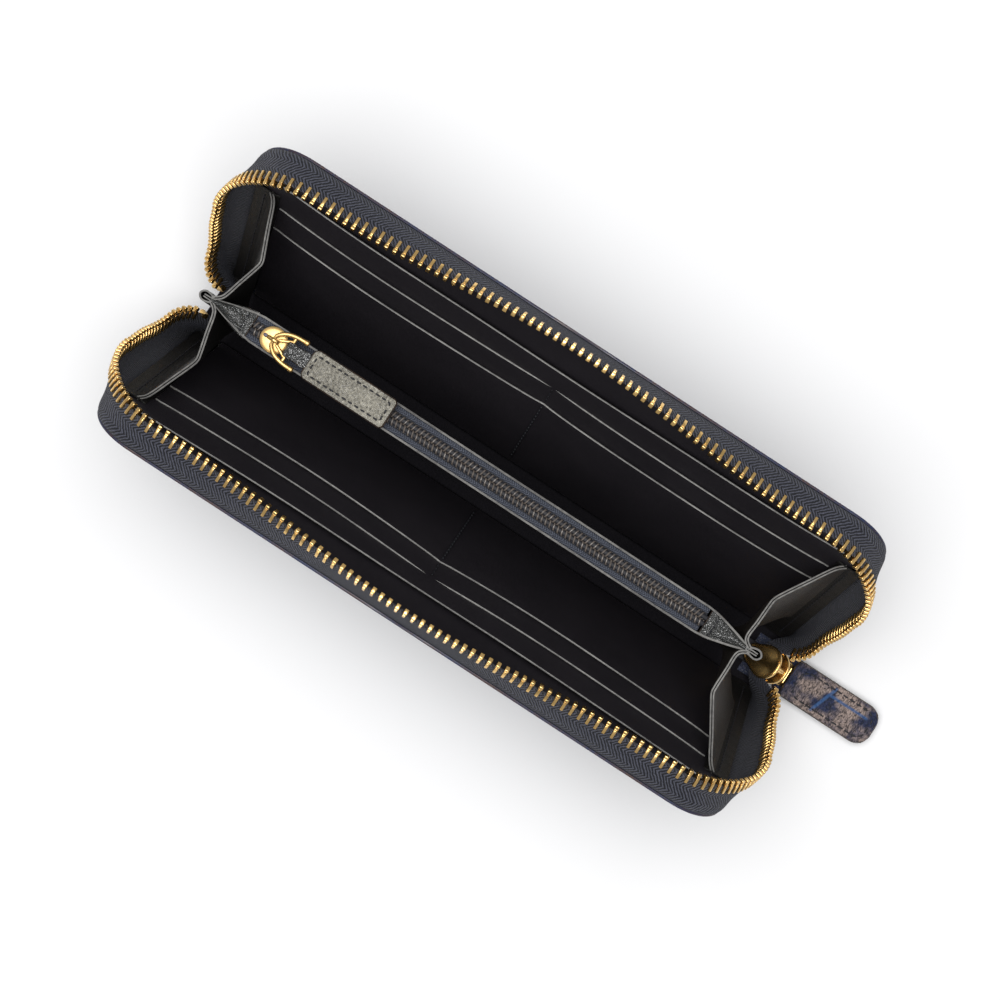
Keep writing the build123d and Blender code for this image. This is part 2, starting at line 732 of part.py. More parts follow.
def make_coin_slider():
    """Slider of the coin pocket's zip, its forked link and its leather tab."""
    with BuildPart() as body:
        with BuildSketch(Plane.XY.offset(COIN_PLATE_Z)):
            with Locations((COIN_SLIDER_X, 0)):
                Ellipse(COIN_SLIDER_RADIUS_X, COIN_SLIDER_RADIUS_Y)
        extrude(amount=COIN_PLATE)
        with BuildSketch(Plane.XY.offset(COIN_TAPE_Z - 1.8)):
            with Locations((COIN_SLIDER_X, 0)):
                Ellipse(COIN_SLIDER_RADIUS_X, COIN_SLIDER_RADIUS_Y - 0.4)
        extrude(amount=1.0)
        with BuildSketch(Plane.XY.offset(COIN_TAPE_Z - 1.0)):
            with Locations((COIN_SLIDER_X - 2.4, 0)):
                Rectangle(1.6, 0.7)
        extrude(amount=COIN_PLATE_Z - COIN_TAPE_Z + 1.2)
    save(body, "coin_slider_body")

    plate_top = COIN_PLATE_Z + COIN_PLATE
    with BuildPart() as bridge:
        with BuildSketch(Plane.XZ.offset(-0.9)):
            with Locations((COIN_SLIDER_X, plate_top + 1.35)):
                RectangleRounded(5.6, 2.5, 0.9)
            with Locations((COIN_SLIDER_X, plate_top + 0.85)):
                RectangleRounded(3.8, 1.7, 0.3, mode=Mode.SUBTRACT)
        extrude(amount=1.8)
    save(bridge, "coin_slider_bridge")

    wire = 0.5
    with BuildPart() as link:
        with BuildSketch(Plane.XZ.offset(-2.2)):
            with Locations((COIN_SLIDER_X, COIN_PIN_Z)):
                Circle(wire)
        extrude(amount=4.4)
        with BuildSketch(Plane.XY.offset(COIN_PIN_Z - wire)):
            for side in (-1, 1):
                with BuildLine() as arm:
                    Spline(
                        (COIN_SLIDER_X - 0.4, side * 2.0),
                        (COIN_SLIDER_X + 4.5, side * 3.0),
                        (COIN_SLIDER_X + 10.0, side * 4.4),
                        tangents=[(1, side * 0.1), (1, side * 0.6)],
                    )
                trace(arm.line, line_width=2 * wire)
        extrude(amount=2 * wire)
        with BuildSketch(Plane.XZ.offset(-COIN_BAR_HALF)):
            with Locations((COIN_BAR_X, COIN_PIN_Z)):
                Circle(COIN_BAR_RADIUS)
        extrude(amount=2 * COIN_BAR_HALF)
    save(link, "coin_pull_link")

    tab_bottom = COIN_PIN_Z - COIN_BAR_RADIUS - 0.05 - COIN_TAB_SHEET
    tab_top = COIN_PIN_Z + COIN_BAR_RADIUS + 0.05
    for name, base in (("lower", tab_bottom), ("upper", tab_top)):
        with BuildPart() as sheet:
            with BuildSketch(Plane.XY.offset(base)):
                coin_tab_outline(COIN_BAR_X - 1.2)
            extrude(amount=COIN_TAB_SHEET)
        save(sheet, f"coin_pull_{name}_leather")
    with BuildPart() as core:
        with BuildSketch(Plane.XY.offset(COIN_PIN_Z - COIN_BAR_RADIUS)):
            coin_tab_outline(COIN_SHOULDER_X)
        extrude(amount=2 * COIN_BAR_RADIUS)
    save(core, "coin_pull_core")


def coin_tab_outline(start_x):
    """Tab outline: a narrow neck on the link's bar, then rounded shoulders."""
    length = COIN_TAB_END_X - COIN_SHOULDER_X
    with Locations((COIN_SHOULDER_X + length / 2, 0)):
        RectangleRounded(length, COIN_TAB_WIDTH, 1.4)
    if start_x < COIN_SHOULDER_X:
        neck_end = COIN_SHOULDER_X + 3.0
        with Locations(((start_x + neck_end) / 2, 0)):
            Rectangle(neck_end - start_x, 3.6)


make_cover_layers()
make_bindings()
make_spine()
make_main_zip()
make_coin_pocket()
make_gussets()
make_main_slider()
make_main_pull()
make_coin_slider()
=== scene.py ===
import json
import math

import bmesh
import bpy
import numpy as np
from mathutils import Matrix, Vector


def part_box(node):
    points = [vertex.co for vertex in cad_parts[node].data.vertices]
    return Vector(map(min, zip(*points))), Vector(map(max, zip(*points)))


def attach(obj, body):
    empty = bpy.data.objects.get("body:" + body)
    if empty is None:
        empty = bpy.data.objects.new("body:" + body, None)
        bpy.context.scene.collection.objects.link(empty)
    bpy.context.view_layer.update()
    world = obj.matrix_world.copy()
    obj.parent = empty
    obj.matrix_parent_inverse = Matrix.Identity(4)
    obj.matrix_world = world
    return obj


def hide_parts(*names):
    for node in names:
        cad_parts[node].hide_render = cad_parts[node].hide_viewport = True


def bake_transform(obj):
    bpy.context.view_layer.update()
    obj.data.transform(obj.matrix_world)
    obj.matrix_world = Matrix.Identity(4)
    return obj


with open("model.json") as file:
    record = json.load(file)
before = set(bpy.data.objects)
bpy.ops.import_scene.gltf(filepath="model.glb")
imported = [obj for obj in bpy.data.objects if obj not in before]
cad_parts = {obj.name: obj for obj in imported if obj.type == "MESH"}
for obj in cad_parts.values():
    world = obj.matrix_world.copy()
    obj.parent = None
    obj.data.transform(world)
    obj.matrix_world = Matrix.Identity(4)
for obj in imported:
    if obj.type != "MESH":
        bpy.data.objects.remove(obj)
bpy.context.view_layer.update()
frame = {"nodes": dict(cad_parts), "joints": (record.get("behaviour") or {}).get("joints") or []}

# The looks of a long zip around wallet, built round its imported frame.
# Lengths are in millimetres in the frame's own axes, except the studio's: +X runs along the
# spine towards the main slider, +Y towards the back cover and +Z up.  Meshes are scaled to
# metres when they are made.  "side" is +1 for the back cover and -1 for the front one,
# "end" is +1 for the slider's end and -1 for the other end.

MM = 0.001


def box_mm(node):
    """Lowest and highest corner of a CAD node, in millimetres."""
    low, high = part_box(node)
    return low / MM, high / MM


joints = {joint["name"]: joint for joint in frame["joints"]}
hinge = joints["back_cover_hinge"]
HINGE_Y, HINGE_Z = hinge["pos_m"][1] / MM, hinge["pos_m"][2] / MM
TILT = math.radians(-hinge["range_deg"][0])
TILT_SIN, TILT_COS = math.sin(TILT), math.cos(TILT)

# Covers: the layers' depths are counted from the hinge line towards the other cover
HALF_LENGTH = box_mm("spine_leather")[1].x
COVER_TOP = 96.0
COVER_CORNER = 14.0
LEATHER = 1.2
LEATHER_INNER_DEPTH = -1.3
EDGE_LEATHER = 0.65
PADDING = 0.5
LINING_HALF = box_mm("back_cover_lining")[1].x
LINING_TOP = 95.0
LINING_CORNER = 13.0
SEAM_INSET = 3.6
BINDING_X, BINDING_HALF_WIDTH, BINDING_BOTTOM = 93.4, 3.6, 0.8

# Main zip: its free edge runs up a bend at the foot of each short side, along a straight
# stretch, round the corner and along the top, where it bows out most at mid length
ZIP_EDGE_X = 103.2
ZIP_SIDE_SWELL = 0.9
ZIP_BEND_RADIUS = 22.0
ZIP_BEND_X, ZIP_BEND_Z = ZIP_EDGE_X - ZIP_BEND_RADIUS, 26.35
ZIP_CORNER_X, ZIP_CORNER_RISE = 80.0, 58.0
ZIP_TOP_RISE, ZIP_BOW = 96.5, 5.8
SEWN_X, SEWN_TOP, SEWN_DEPTH, SEWN_CORNER = 97.5, 95.6, -0.95, 12.5
MESHED_DEPTH, SPLIT_DEPTH, CORNER_DEPTH, MIDDLE_DEPTH = 8.6, 6.2, 7.1, 5.0
SPLIT_RISES, CORNER_RISES = (12.0, 32.0), (33.0, 50.0)
BEND_DRAWN_IN, DRAWN_IN_ANGLES = 0.4, (-38.0, -14.0)
STRAIGHT_SWELL, SWELL_LOWERED, SWELL_TOP_RISE = 1.1, 3.0, 46.0
TAPE_TUCK, TUCK_RISES = 3.0, (16.0, 4.0)
STOP_END_ANGLE, OPEN_END_ANGLE, TAIL_ANGLE = 43.0, 34.0, 60.0
TOOTH_PITCH = 2.5
TAPE = 0.6
CORD_RADIUS = 0.5
TAPE_KNEE = 3.6

# Flat pockets: piece, CAD node, depth, half width, top, slack of the mouth, divided in two
FLAT_POCKETS = (
    ("bill_pocket_sheet", "bill_pocket", 0.75, 94.0, 77.0, 1.0, False),
    ("upper_card_sheet", "upper_card_pocket", 1.35, 89.0, 64.0, 0.9, True),
    ("lower_card_sheet", "lower_card_pocket", 2.0, 89.0, 52.0, 1.0, True),
)
POCKET_BOTTOM = 2.0

# Coin pocket
COIN_LOW, COIN_HIGH = box_mm("coin_pocket_back_wall")
COIN_LEFT_X, COIN_RIGHT_X, COIN_TOP_Z = COIN_LOW.x, COIN_HIGH.x, COIN_HIGH.z
COIN_HALF_WIDTH = COIN_HIGH.y
COIN_TAPER = 12.8
COIN_COIL_PITCH = 1.3
COIN_SEAM_SHARE = 0.17

# Gussets, and how far they come together inside the coin pocket's two ends
GUSSET_X = 90.7
GUSSET_TOP = 70.5
GUSSET_DEPTH = 3.0
GUSSET_WIDTH = 17.6
GUSSET_PINCH_Y = 1.5
PINCH_IN = {1: 1.1, -1: 2.6}
FOLD_SHIFT = {1: (1.8, 3.5), -1: (1.9, 0.4)}

# Main pull: its pressed lines, as shares of its length and half width, and how much shorter
# than its CAD leather it is
PULL_CROSS_SHARE, PULL_CROSS_LEAN, PULL_LINE_SHARE = 0.46, 0.35, 0.36
PULL_SHORTER = 2.6

# Studio, in metres, watts and degrees
CAMERA_PLACE, CAMERA_TURN, CAMERA_LENS = (0.0044, -0.0028, 0.794), 33.09, 96.8
LIGHT_TARGET = (0, 0, 0.05)
WORLD_STRENGTH = 0.45
FLOOR_REACH = 3.0


def unit(vectors):
    """Vectors scaled to length one."""
    return vectors / np.maximum(np.linalg.norm(vectors, axis=-1, keepdims=True), 1e-9)


def smooth_step(value, start, end):
    """0 below start, 1 above end and a smooth turn between."""
    share = np.clip((np.asarray(value, float) - start) / (end - start), 0, 1)
    return share * share * (3 - 2 * share)


def points_at(x, y, z):
    """Points from three coordinates, each a number or an array."""
    return np.stack(np.broadcast_arrays(x, y, z), axis=-1).astype(float)


def on_cover(side, x, rise, depth):
    """Points of the open cover on that side."""
    y = HINGE_Y + rise * TILT_SIN - depth * TILT_COS
    z = HINGE_Z + rise * TILT_COS + depth * TILT_SIN
    return points_at(x, side * y, z)


def cover_inward(side):
    """Square to the open cover on that side, towards the other one."""
    return np.array((0.0, -side * TILT_COS, TILT_SIN))


def cover_name(side):
    """The cover's word in the names of its pieces."""
    return "back" if side > 0 else "front"


def end_name(end):
    """The end's word in the names of its pieces."""
    return "right" if end > 0 else "left"


def pocket_end_x(end):
    """The coin pocket's end."""
    return COIN_RIGHT_X if end > 0 else COIN_LEFT_X


def pinch_x(end):
    """Where the gussets come together at the coin pocket's end."""
    return pocket_end_x(end) - end * PINCH_IN[end]


def main_bend(angle, radius=ZIP_BEND_RADIUS):
    """Points of the main zip's bend at the slider's end, at an angle in radians."""
    return points_at(ZIP_BEND_X + radius * np.cos(angle), 0.0, ZIP_BEND_Z + radius * np.sin(angle))


def pull_outline():
    """Start, end and half width of the main pull, and the place of its pressed cross line."""
    low, high = box_mm("main_pull_outer_leather")
    end = high.x - PULL_SHORTER
    return low.x, end, high.y, low.x + (end - low.x) * PULL_CROSS_SHARE


# ---------------------------------------------------------------- mesh tools


CREASE_ANGLE = math.radians(38.0)


class Shape:
    """A mesh under construction, in millimetres."""

    def __init__(self):
        self.points, self.faces, self.slots, self.uvs = [], [], [], []
        self.count = 0

    def add(self, points, faces, slot=0, uvs=None):
        """Add a closed shell.  slot is one material number, or one for each face."""
        points = np.asarray(points, float).reshape(-1, 3)
        self.points.append(points)
        self.uvs.append(np.zeros((len(points), 2)) if uvs is None else np.asarray(uvs).reshape(-1, 2))
        self.faces += [tuple(int(i) + self.count for i in face) for face in faces]
        self.slots += slot if isinstance(slot, list) else [slot] * len(faces)
        self.count += len(points)

    def made(self, name, body, finish, materials, stands_for=()):
        """The finished piece on its body, in place of CAD nodes.  No body leaves it for a blend."""
        mesh = bpy.data.meshes.new(name)
        points = np.concatenate(self.points)
        mesh.from_pydata((points * MM).tolist(), [], self.faces)
        for material in materials:
            mesh.materials.append(material)
        mesh.polygons.foreach_set("material_index", self.slots)
        mesh.polygons.foreach_set("use_smooth", [True] * len(mesh.polygons))
        corners = np.zeros(len(mesh.loops), np.int32)
        mesh.loops.foreach_get("vertex_index", corners)
        layer = mesh.uv_layers.new(name="metric")
        layer.data.foreach_set("uv", np.concatenate(self.uvs)[corners].astype(np.float32).ravel())
        mesh.validate()
        fix_normals(mesh)
        mesh.set_sharp_from_angle(angle=CREASE_ANGLE)
        made = bpy.data.objects.new(name, mesh)
        bpy.context.scene.collection.objects.link(made)
        if body:
            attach(made, body)
        if stands_for:
            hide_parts(*stands_for)
        return made


def fix_normals(mesh):
    """Turn every shell's faces outwards."""
    work = bmesh.new()
    work.from_mesh(mesh)
    bmesh.ops.recalc_face_normals(work, faces=work.faces)
    work.to_mesh(mesh)
    work.free()


def path_length(path):
    """Distance along a polyline, or along each of several, at each point."""
    steps = np.linalg.norm(np.diff(path, axis=-2), axis=-1)
    return np.concatenate([np.zeros_like(steps[..., :1]), np.cumsum(steps, axis=-1)], axis=-1)


def grid_normals(rows):
    """Directions square to a grid of points."""
    along, across = np.gradient(rows, axis=1), np.gradient(rows, axis=0)
    return unit(np.cross(along, across))


RIM_CROWN = 0.8


def slab(shape, rows, thickness, slot=0, rim_slot=0, uvs=None):
    """A sheet of leather or cloth round a grid of middle points, with a rounded rim."""
    rows = np.asarray(rows, float)
    count_v, count_u = rows.shape[:2]
    half = np.broadcast_to(np.asarray(thickness, float) / 2, rows.shape[:2])[..., None]
    normals = grid_normals(rows)
    index = np.arange(count_v * count_u).reshape(count_v, count_u)
    border = np.concatenate([index[0], index[1:, -1], index[-1, -2::-1], index[-2:0:-1, 0]])
    inner_v, inner_u = (np.clip(np.arange(count), 1, count - 2) for count in (count_v, count_u))
    outward = unit(rows - rows[inner_v[:, None], inner_u]).reshape(-1, 3)[border]
    rim = rows.reshape(-1, 3)[border] + outward * half.reshape(-1, 1)[border] * RIM_CROWN
    faces_out = [(rows + face * normals * half).reshape(-1, 3) for face in (1, -1)]
    points = np.concatenate([*faces_out, rim])
    size = count_v * count_u
    quads = [index[:-1, :-1], index[:-1, 1:], index[1:, 1:], index[1:, :-1]]
    quads = np.stack(quads, axis=-1).reshape(-1, 4)
    faces = quads.tolist() + (quads[:, ::-1] + size).tolist()
    slots = [slot] * len(faces)
    for k in range(len(border)):
        following = (k + 1) % len(border)
        a, b = border[k], border[following]
        ra, rb = 2 * size + k, 2 * size + following
        faces += [(b, a, ra, rb), (rb, ra, a + size, b + size)]
        slots += [rim_slot, rim_slot]
    if uvs is None:
        u, v = path_length(rows[count_v // 2]), path_length(rows[:, count_u // 2])
        uvs = np.stack(np.meshgrid(u, v), axis=-1)
    flat_uvs = np.asarray(uvs, float).reshape(-1, 2)
    shape.add(points, faces, slots, np.concatenate([flat_uvs, flat_uvs, flat_uvs[border]]))


def path_frames(path, closed=False):
    """Two directions across a path, which turn as little as possible along it."""
    if closed:
        tangents = unit(np.roll(path, -1, axis=0) - np.roll(path, 1, axis=0))
    else:
        tangents = unit(np.gradient(path, axis=0))
    first = np.array((0.0, 0.0, 1.0)) if abs(tangents[0][2]) < 0.9 else np.array((0.0, 1.0, 0.0))
    ups = []
    for tangent in tangents:
        first = first - tangent * np.dot(first, tangent)
        first = first / max(np.linalg.norm(first), 1e-9)
        ups.append(first)
    ups = np.array(ups)
    return ups, np.cross(tangents, ups)


def tube(shape, path, radius, sides=8, closed=False, slot=0, flatten=1.0):
    """A wire or cord along a path.  Open ends are rounded; flatten squeezes it upwards."""
    path = np.asarray(path, float)
    radii = np.broadcast_to(np.asarray(radius, float), len(path)).copy()
    if not closed:
        tangents = unit(np.gradient(path, axis=0))
        cap = radii[0] * 0.6
        path = np.concatenate([[path[0] - tangents[0] * cap], path, [path[-1] + tangents[-1] * cap]])
        radii = np.concatenate([[radii[0] * 0.45], radii, [radii[-1] * 0.45]])
    ups, sideways = path_frames(path, closed)
    angles = np.linspace(0, 2 * math.pi, sides, endpoint=False)
    turn = angles[None, :, None]
    ring = np.cos(turn) * sideways[:, None] + flatten * np.sin(turn) * ups[:, None]
    points = path[:, None] + ring * radii[:, None, None]
    rings = len(path)
    faces = []
    for k in range(rings if closed else rings - 1):
        for s in range(sides):
            a, b = k * sides + s, k * sides + (s + 1) % sides
            c, d = (a + sides) % (rings * sides), (b + sides) % (rings * sides)
            faces.append((a, b, d, c))
    if not closed:
        faces.append(tuple(range(sides)))
        faces.append(tuple(range((rings - 1) * sides, rings * sides)))
    lengths = path_length(path)[:, None]
    uvs = np.stack(np.broadcast_arrays(lengths, angles[None, :] * radii.mean()), axis=-1)
    shape.add(points, faces, slot, uvs)


def resample(path, spacing, closed=False):
    """Points spaced evenly along a polyline."""
    path = np.asarray(path, float)
    if closed:
        path = np.concatenate([path, path[:1]])
    length = path_length(path)
    count = max(int(round(length[-1] / spacing)), 2)
    wanted = np.linspace(0, length[-1], count + 1)
    if closed:
        wanted = wanted[:-1]
    return np.stack([np.interp(wanted, length, path[:, k]) for k in range(3)], axis=1)


def spline(points, count):
    """A smooth curve through the points (Catmull-Rom)."""
    points = np.asarray(points, float)
    padded = np.concatenate([[2 * points[0] - points[1]], points, [2 * points[-1] - points[-2]]])
    made = []
    for k in range(len(points) - 1):
        a, b, c, d = padded[k:k + 4]
        for t in np.linspace(0, 1, count, endpoint=k == len(points) - 2):
            made.append(0.5 * (2 * b + (c - a) * t + (2 * a - 5 * b + 4 * c - d) * t**2
                               + (3 * b - a - 3 * c + d) * t**3))
    return np.array(made)


STITCH_SPACING = 0.25


def stitches(shape, path, up, pitch, length, radius, slot=0, closed=False):
    """A row of thread stitches that dip into the surface at both ends."""
    fine = resample(path, STITCH_SPACING, closed)
    step = max(int(round(pitch / STITCH_SPACING)), 2)
    reach = max(int(round(length / STITCH_SPACING)), 2)
    ups = np.broadcast_to(np.asarray(up, float), fine.shape)
    for start in range(0, len(fine) - reach, step):
        part = fine[start:start + reach + 1]
        arch = np.sin(np.linspace(0, math.pi, len(part)))[:, None] ** 0.6
        lifted = part + ups[start:start + reach + 1] * (arch * radius * 0.9 - radius * 0.5)
        tube(shape, lifted[::2] if len(lifted) > 4 else lifted, radius, sides=6, slot=slot)


def raised(outline, low, high, bevel, segments, rims_only):
    """Points and faces of a flat outline raised into a solid with bevelled edges."""
    work = bmesh.new()
    loop = [work.verts.new((x, y, low)) for x, y in outline]
    lifted = bmesh.ops.extrude_face_region(work, geom=[work.faces.new(loop)])
    moved = [item for item in lifted["geom"] if isinstance(item, bmesh.types.BMVert)]
    bmesh.ops.translate(work, verts=moved, vec=(0, 0, high - low))
    edges = work.edges[:]
    if rims_only:
        edges = [edge for edge in edges if abs(edge.verts[0].co.z - edge.verts[1].co.z) < 1e-6]
    bmesh.ops.bevel(work, geom=edges, offset=bevel, segments=segments, profile=0.5, affect="EDGES")
    work.verts.index_update()
    points = np.array([tuple(vert.co) for vert in work.verts])
    faces = [tuple(vert.index for vert in face.verts) for face in work.faces]
    work.free()
    return points, faces


def plate(outline, low, high, bevel, segments=2, offset=(0.0, 0.0, 0.0)):
    """Points and faces of a plate whose upper and lower rims are bevelled."""
    points, faces = raised(outline, low, high, bevel, segments, True)
    return points + np.array(offset), faces


def block(low, high, bevel, segments=2):
    """Points and faces of a small block between two corners, bevelled all round."""
    (x0, y0, z0), (x1, y1, z1) = low, high
    return raised([(x0, y0), (x1, y0), (x1, y1), (x0, y1)], z0, z1, bevel, segments, False)


def placed(points, origin, x_dir, y_dir, z_dir):
    """Local points carried to a frame given by its origin and three directions."""
    return np.asarray(origin) + points @ np.array([x_dir, y_dir, z_dir], float)


def rounded_outline(half_x, half_y, radius, centre):
    """A rounded rectangle."""
    outline = []
    for quarter, (sx, sy) in enumerate(((1, 1), (-1, 1), (-1, -1), (1, -1))):
        for angle in np.linspace(0, math.pi / 2, 5):
            turn = angle + quarter * math.pi / 2
            x = centre[0] + sx * (half_x - radius) + radius * math.cos(turn)
            y = centre[1] + sy * (half_y - radius) + radius * math.sin(turn)
            outline.append((x, y))
    return outline


# ---------------------------------------------------------------- materials


class Nodes:
    """Short forms for building a material's node tree."""

    def __init__(self, name):
        self.material = bpy.data.materials.new(name)
        self.material.use_nodes = True
        self.tree = self.material.node_tree
        self.shader = self.tree.nodes["Principled BSDF"]

    def node(self, kind, inputs=None, **settings):
        made = self.tree.nodes.new(kind)
        for key, value in settings.items():
            setattr(made, key, value)
        for key, value in (inputs or {}).items():
            self.give(made.inputs[key], value)
        return made

    def give(self, socket, value):
        if isinstance(value, bpy.types.NodeSocket):
            self.tree.links.new(value, socket)
        else:
            socket.default_value = value

    def set(self, **values):
        for key, value in values.items():
            self.give(self.shader.inputs[key.replace("_", " ")], value)

    def local(self):
        return self.node("ShaderNodeTexCoord").outputs["Object"]

    def metric(self):
        return self.node("ShaderNodeUVMap", uv_map="metric").outputs["UV"]

    def math(self, operation, a, b=0.0, c=0.0):
        made = self.node("ShaderNodeMath", operation=operation)
        for socket, value in zip(made.inputs, (a, b, c)):
            self.give(socket, value)
        return made.outputs[0]

    def noise(self, scale, detail=3.0, rough=0.55, vector=None, distortion=0.0):
        made = self.node("ShaderNodeTexNoise", {"Scale": scale, "Detail": detail, "Roughness": rough,
                                                "Distortion": distortion})
        self.give(made.inputs["Vector"], vector or self.local())
        return made.outputs["Fac"]

    def voronoi(self, scale, feature):
        made = self.node("ShaderNodeTexVoronoi", {"Scale": scale, "Randomness": 1.0}, feature=feature)
        self.give(made.inputs["Vector"], self.local())
        return made.outputs["Distance"]

    def ramp(self, value, stops):
        made = self.node("ShaderNodeValToRGB", {"Fac": value})
        elements = made.color_ramp.elements
        while len(elements) < len(stops):
            elements.new(0.5)
        for element, (place, colour) in zip(elements, stops):
            element.position = place
            element.color = (*colour, 1.0)
        return made.outputs["Color"]

    def mix(self, share, a, b):
        made = self.node("ShaderNodeMix", data_type="RGBA")
        self.give(made.inputs[0], share)
        for socket, value in ((made.inputs[6], a), (made.inputs[7], b)):
            self.give(socket, (*value, 1.0) if isinstance(value, tuple) else value)
        return made.outputs[2]

    def range(self, value, low, high, new_low=0.0, new_high=1.0):
        made = self.node("ShaderNodeMapRange", {"Value": value, "From Min": low, "From Max": high,
                                                "To Min": new_low, "To Max": new_high})
        return made.outputs["Result"]

    def bump(self, height, strength, distance_mm):
        inputs = {"Height": height, "Strength": strength, "Distance": distance_mm * MM}
        return self.node("ShaderNodeBump", inputs).outputs["Normal"]


def leather(name, dark, light, grain_mm, rough, specular, depth, worn=0.0):
    """Pebbled leather: cells and fine pores, uneven colour and sheen."""
    n = Nodes(name)
    warp = n.noise(1 / (6 * grain_mm * MM), 2.0)
    cells = n.voronoi(1 / (grain_mm * MM), "F1")
    creases = n.voronoi(1 / (grain_mm * MM), "DISTANCE_TO_EDGE")
    pores = n.noise(1 / (0.25 * grain_mm * MM), 2.0)
    cloudy = n.noise(45.0, 4.0)
    shade = n.math("ADD", n.math("MULTIPLY", cells, 0.5), n.math("MULTIPLY", cloudy, 0.6))
    colour = n.ramp(shade, [(0.25, dark), (0.75, light)])
    if worn:
        colour = n.mix(n.range(creases, 0.05, 0.4, 0.0, worn), colour, (0.09, 0.08, 0.07))
    height = n.math("ADD", n.range(creases, 0.0, 0.22), n.math("MULTIPLY", pores, 0.35))
    height = n.math("ADD", height, n.math("MULTIPLY", warp, 0.5))
    n.set(Base_Color=colour, Roughness=n.range(pores, 0.3, 0.7, *rough), Normal=n.bump(height, 0.7, depth))
    n.set(Specular_IOR_Level=specular)
    return n.material


def painted_edge(name, low, high):
    """Cut edge of leather under edge paint, with small runs and worn spots."""
    n = Nodes(name)
    runs = n.noise(900.0, 3.0)
    patches = n.noise(70.0, 2.0)
    colour = n.ramp(n.math("ADD", n.math("MULTIPLY", runs, 0.5), n.math("MULTIPLY", patches, 0.5)),
                    [(0.38, low), (0.62, high)])
    n.set(Base_Color=colour, Roughness=0.42, Specular_IOR_Level=0.5, Normal=n.bump(runs, 0.4, 0.05))
    return n.material


def herringbone(name, column_mm, thread_mm, dark, light, depth):
    """Zip tape woven in chevrons that run along the zip; raised threads are painted lighter and the gaps
    darker, as painted highlight and painted shade.
    """
    n = Nodes(name)
    split = n.node("ShaderNodeSeparateXYZ", {"Vector": n.metric()})
    along, across = split.outputs["X"], split.outputs["Y"]
    wander = n.math("MULTIPLY", n.noise(700.0, 2.0), 0.9 * thread_mm)
    zigzag = n.math("PINGPONG", across, column_mm)
    rows = n.math("ADD", n.math("ADD", along, zigzag), wander)
    thread = n.math("SINE", n.math("MULTIPLY", rows, 2 * math.pi / thread_mm))
    back_rows = n.math("SUBTRACT", along, zigzag)
    twist = n.math("SINE", n.math("MULTIPLY", back_rows, 2 * math.pi / (0.55 * thread_mm)))
    height = n.math("MULTIPLY_ADD", thread, 0.4, n.math("MULTIPLY_ADD", twist, 0.12, 0.5))
    fuzz = n.noise(3000.0, 2.0)
    spots = n.math("MULTIPLY", height, n.range(fuzz, 0.3, 0.7, 0.6, 1.2))
    # Thread crowns painted light and gaps painted dark: painted highlight and painted shade; the fuzz adds
    # uneven tone.
    n.set(Base_Color=n.ramp(spots, [(0.22, dark), (0.9, light)]), Roughness=0.8)
    n.set(Normal=n.bump(n.math("ADD", height, n.math("MULTIPLY", fuzz, 0.4)), 1.0, depth))
    n.set(Specular_IOR_Level=0.2, Sheen_Weight=0.08, Sheen_Roughness=0.5)
    return n.material


def brass(name, colour, rough):
    """Plated metal: a finely worn polish, and darker tarnish in random smears."""
    n = Nodes(name)
    smear = n.noise(240.0, 4.0)
    fine = n.noise(5000.0, 2.0)
    tint = tuple(value * 0.72 for value in colour)
    n.set(Base_Color=n.mix(n.range(smear, 0.35, 0.7), colour, tint), Metallic=1.0)
    n.set(Roughness=n.range(smear, 0.3, 0.7, rough, rough + 0.1), Normal=n.bump(fine, 0.08, 0.02))
    return n.material


def plain(name, colour, rough, grain, depth, specular):
    """Thread, nylon or board: one tone broken up by fine noise."""
    n = Nodes(name)
    fine = n.noise(grain, 3.0)
    light = tuple(min(value * 1.8 + 0.004, 1.0) for value in colour)
    n.set(Base_Color=n.ramp(fine, [(0.3, colour), (0.7, light)]), Roughness=rough)
    n.set(Normal=n.bump(fine, 0.5, depth), Specular_IOR_Level=specular)
    return n.material


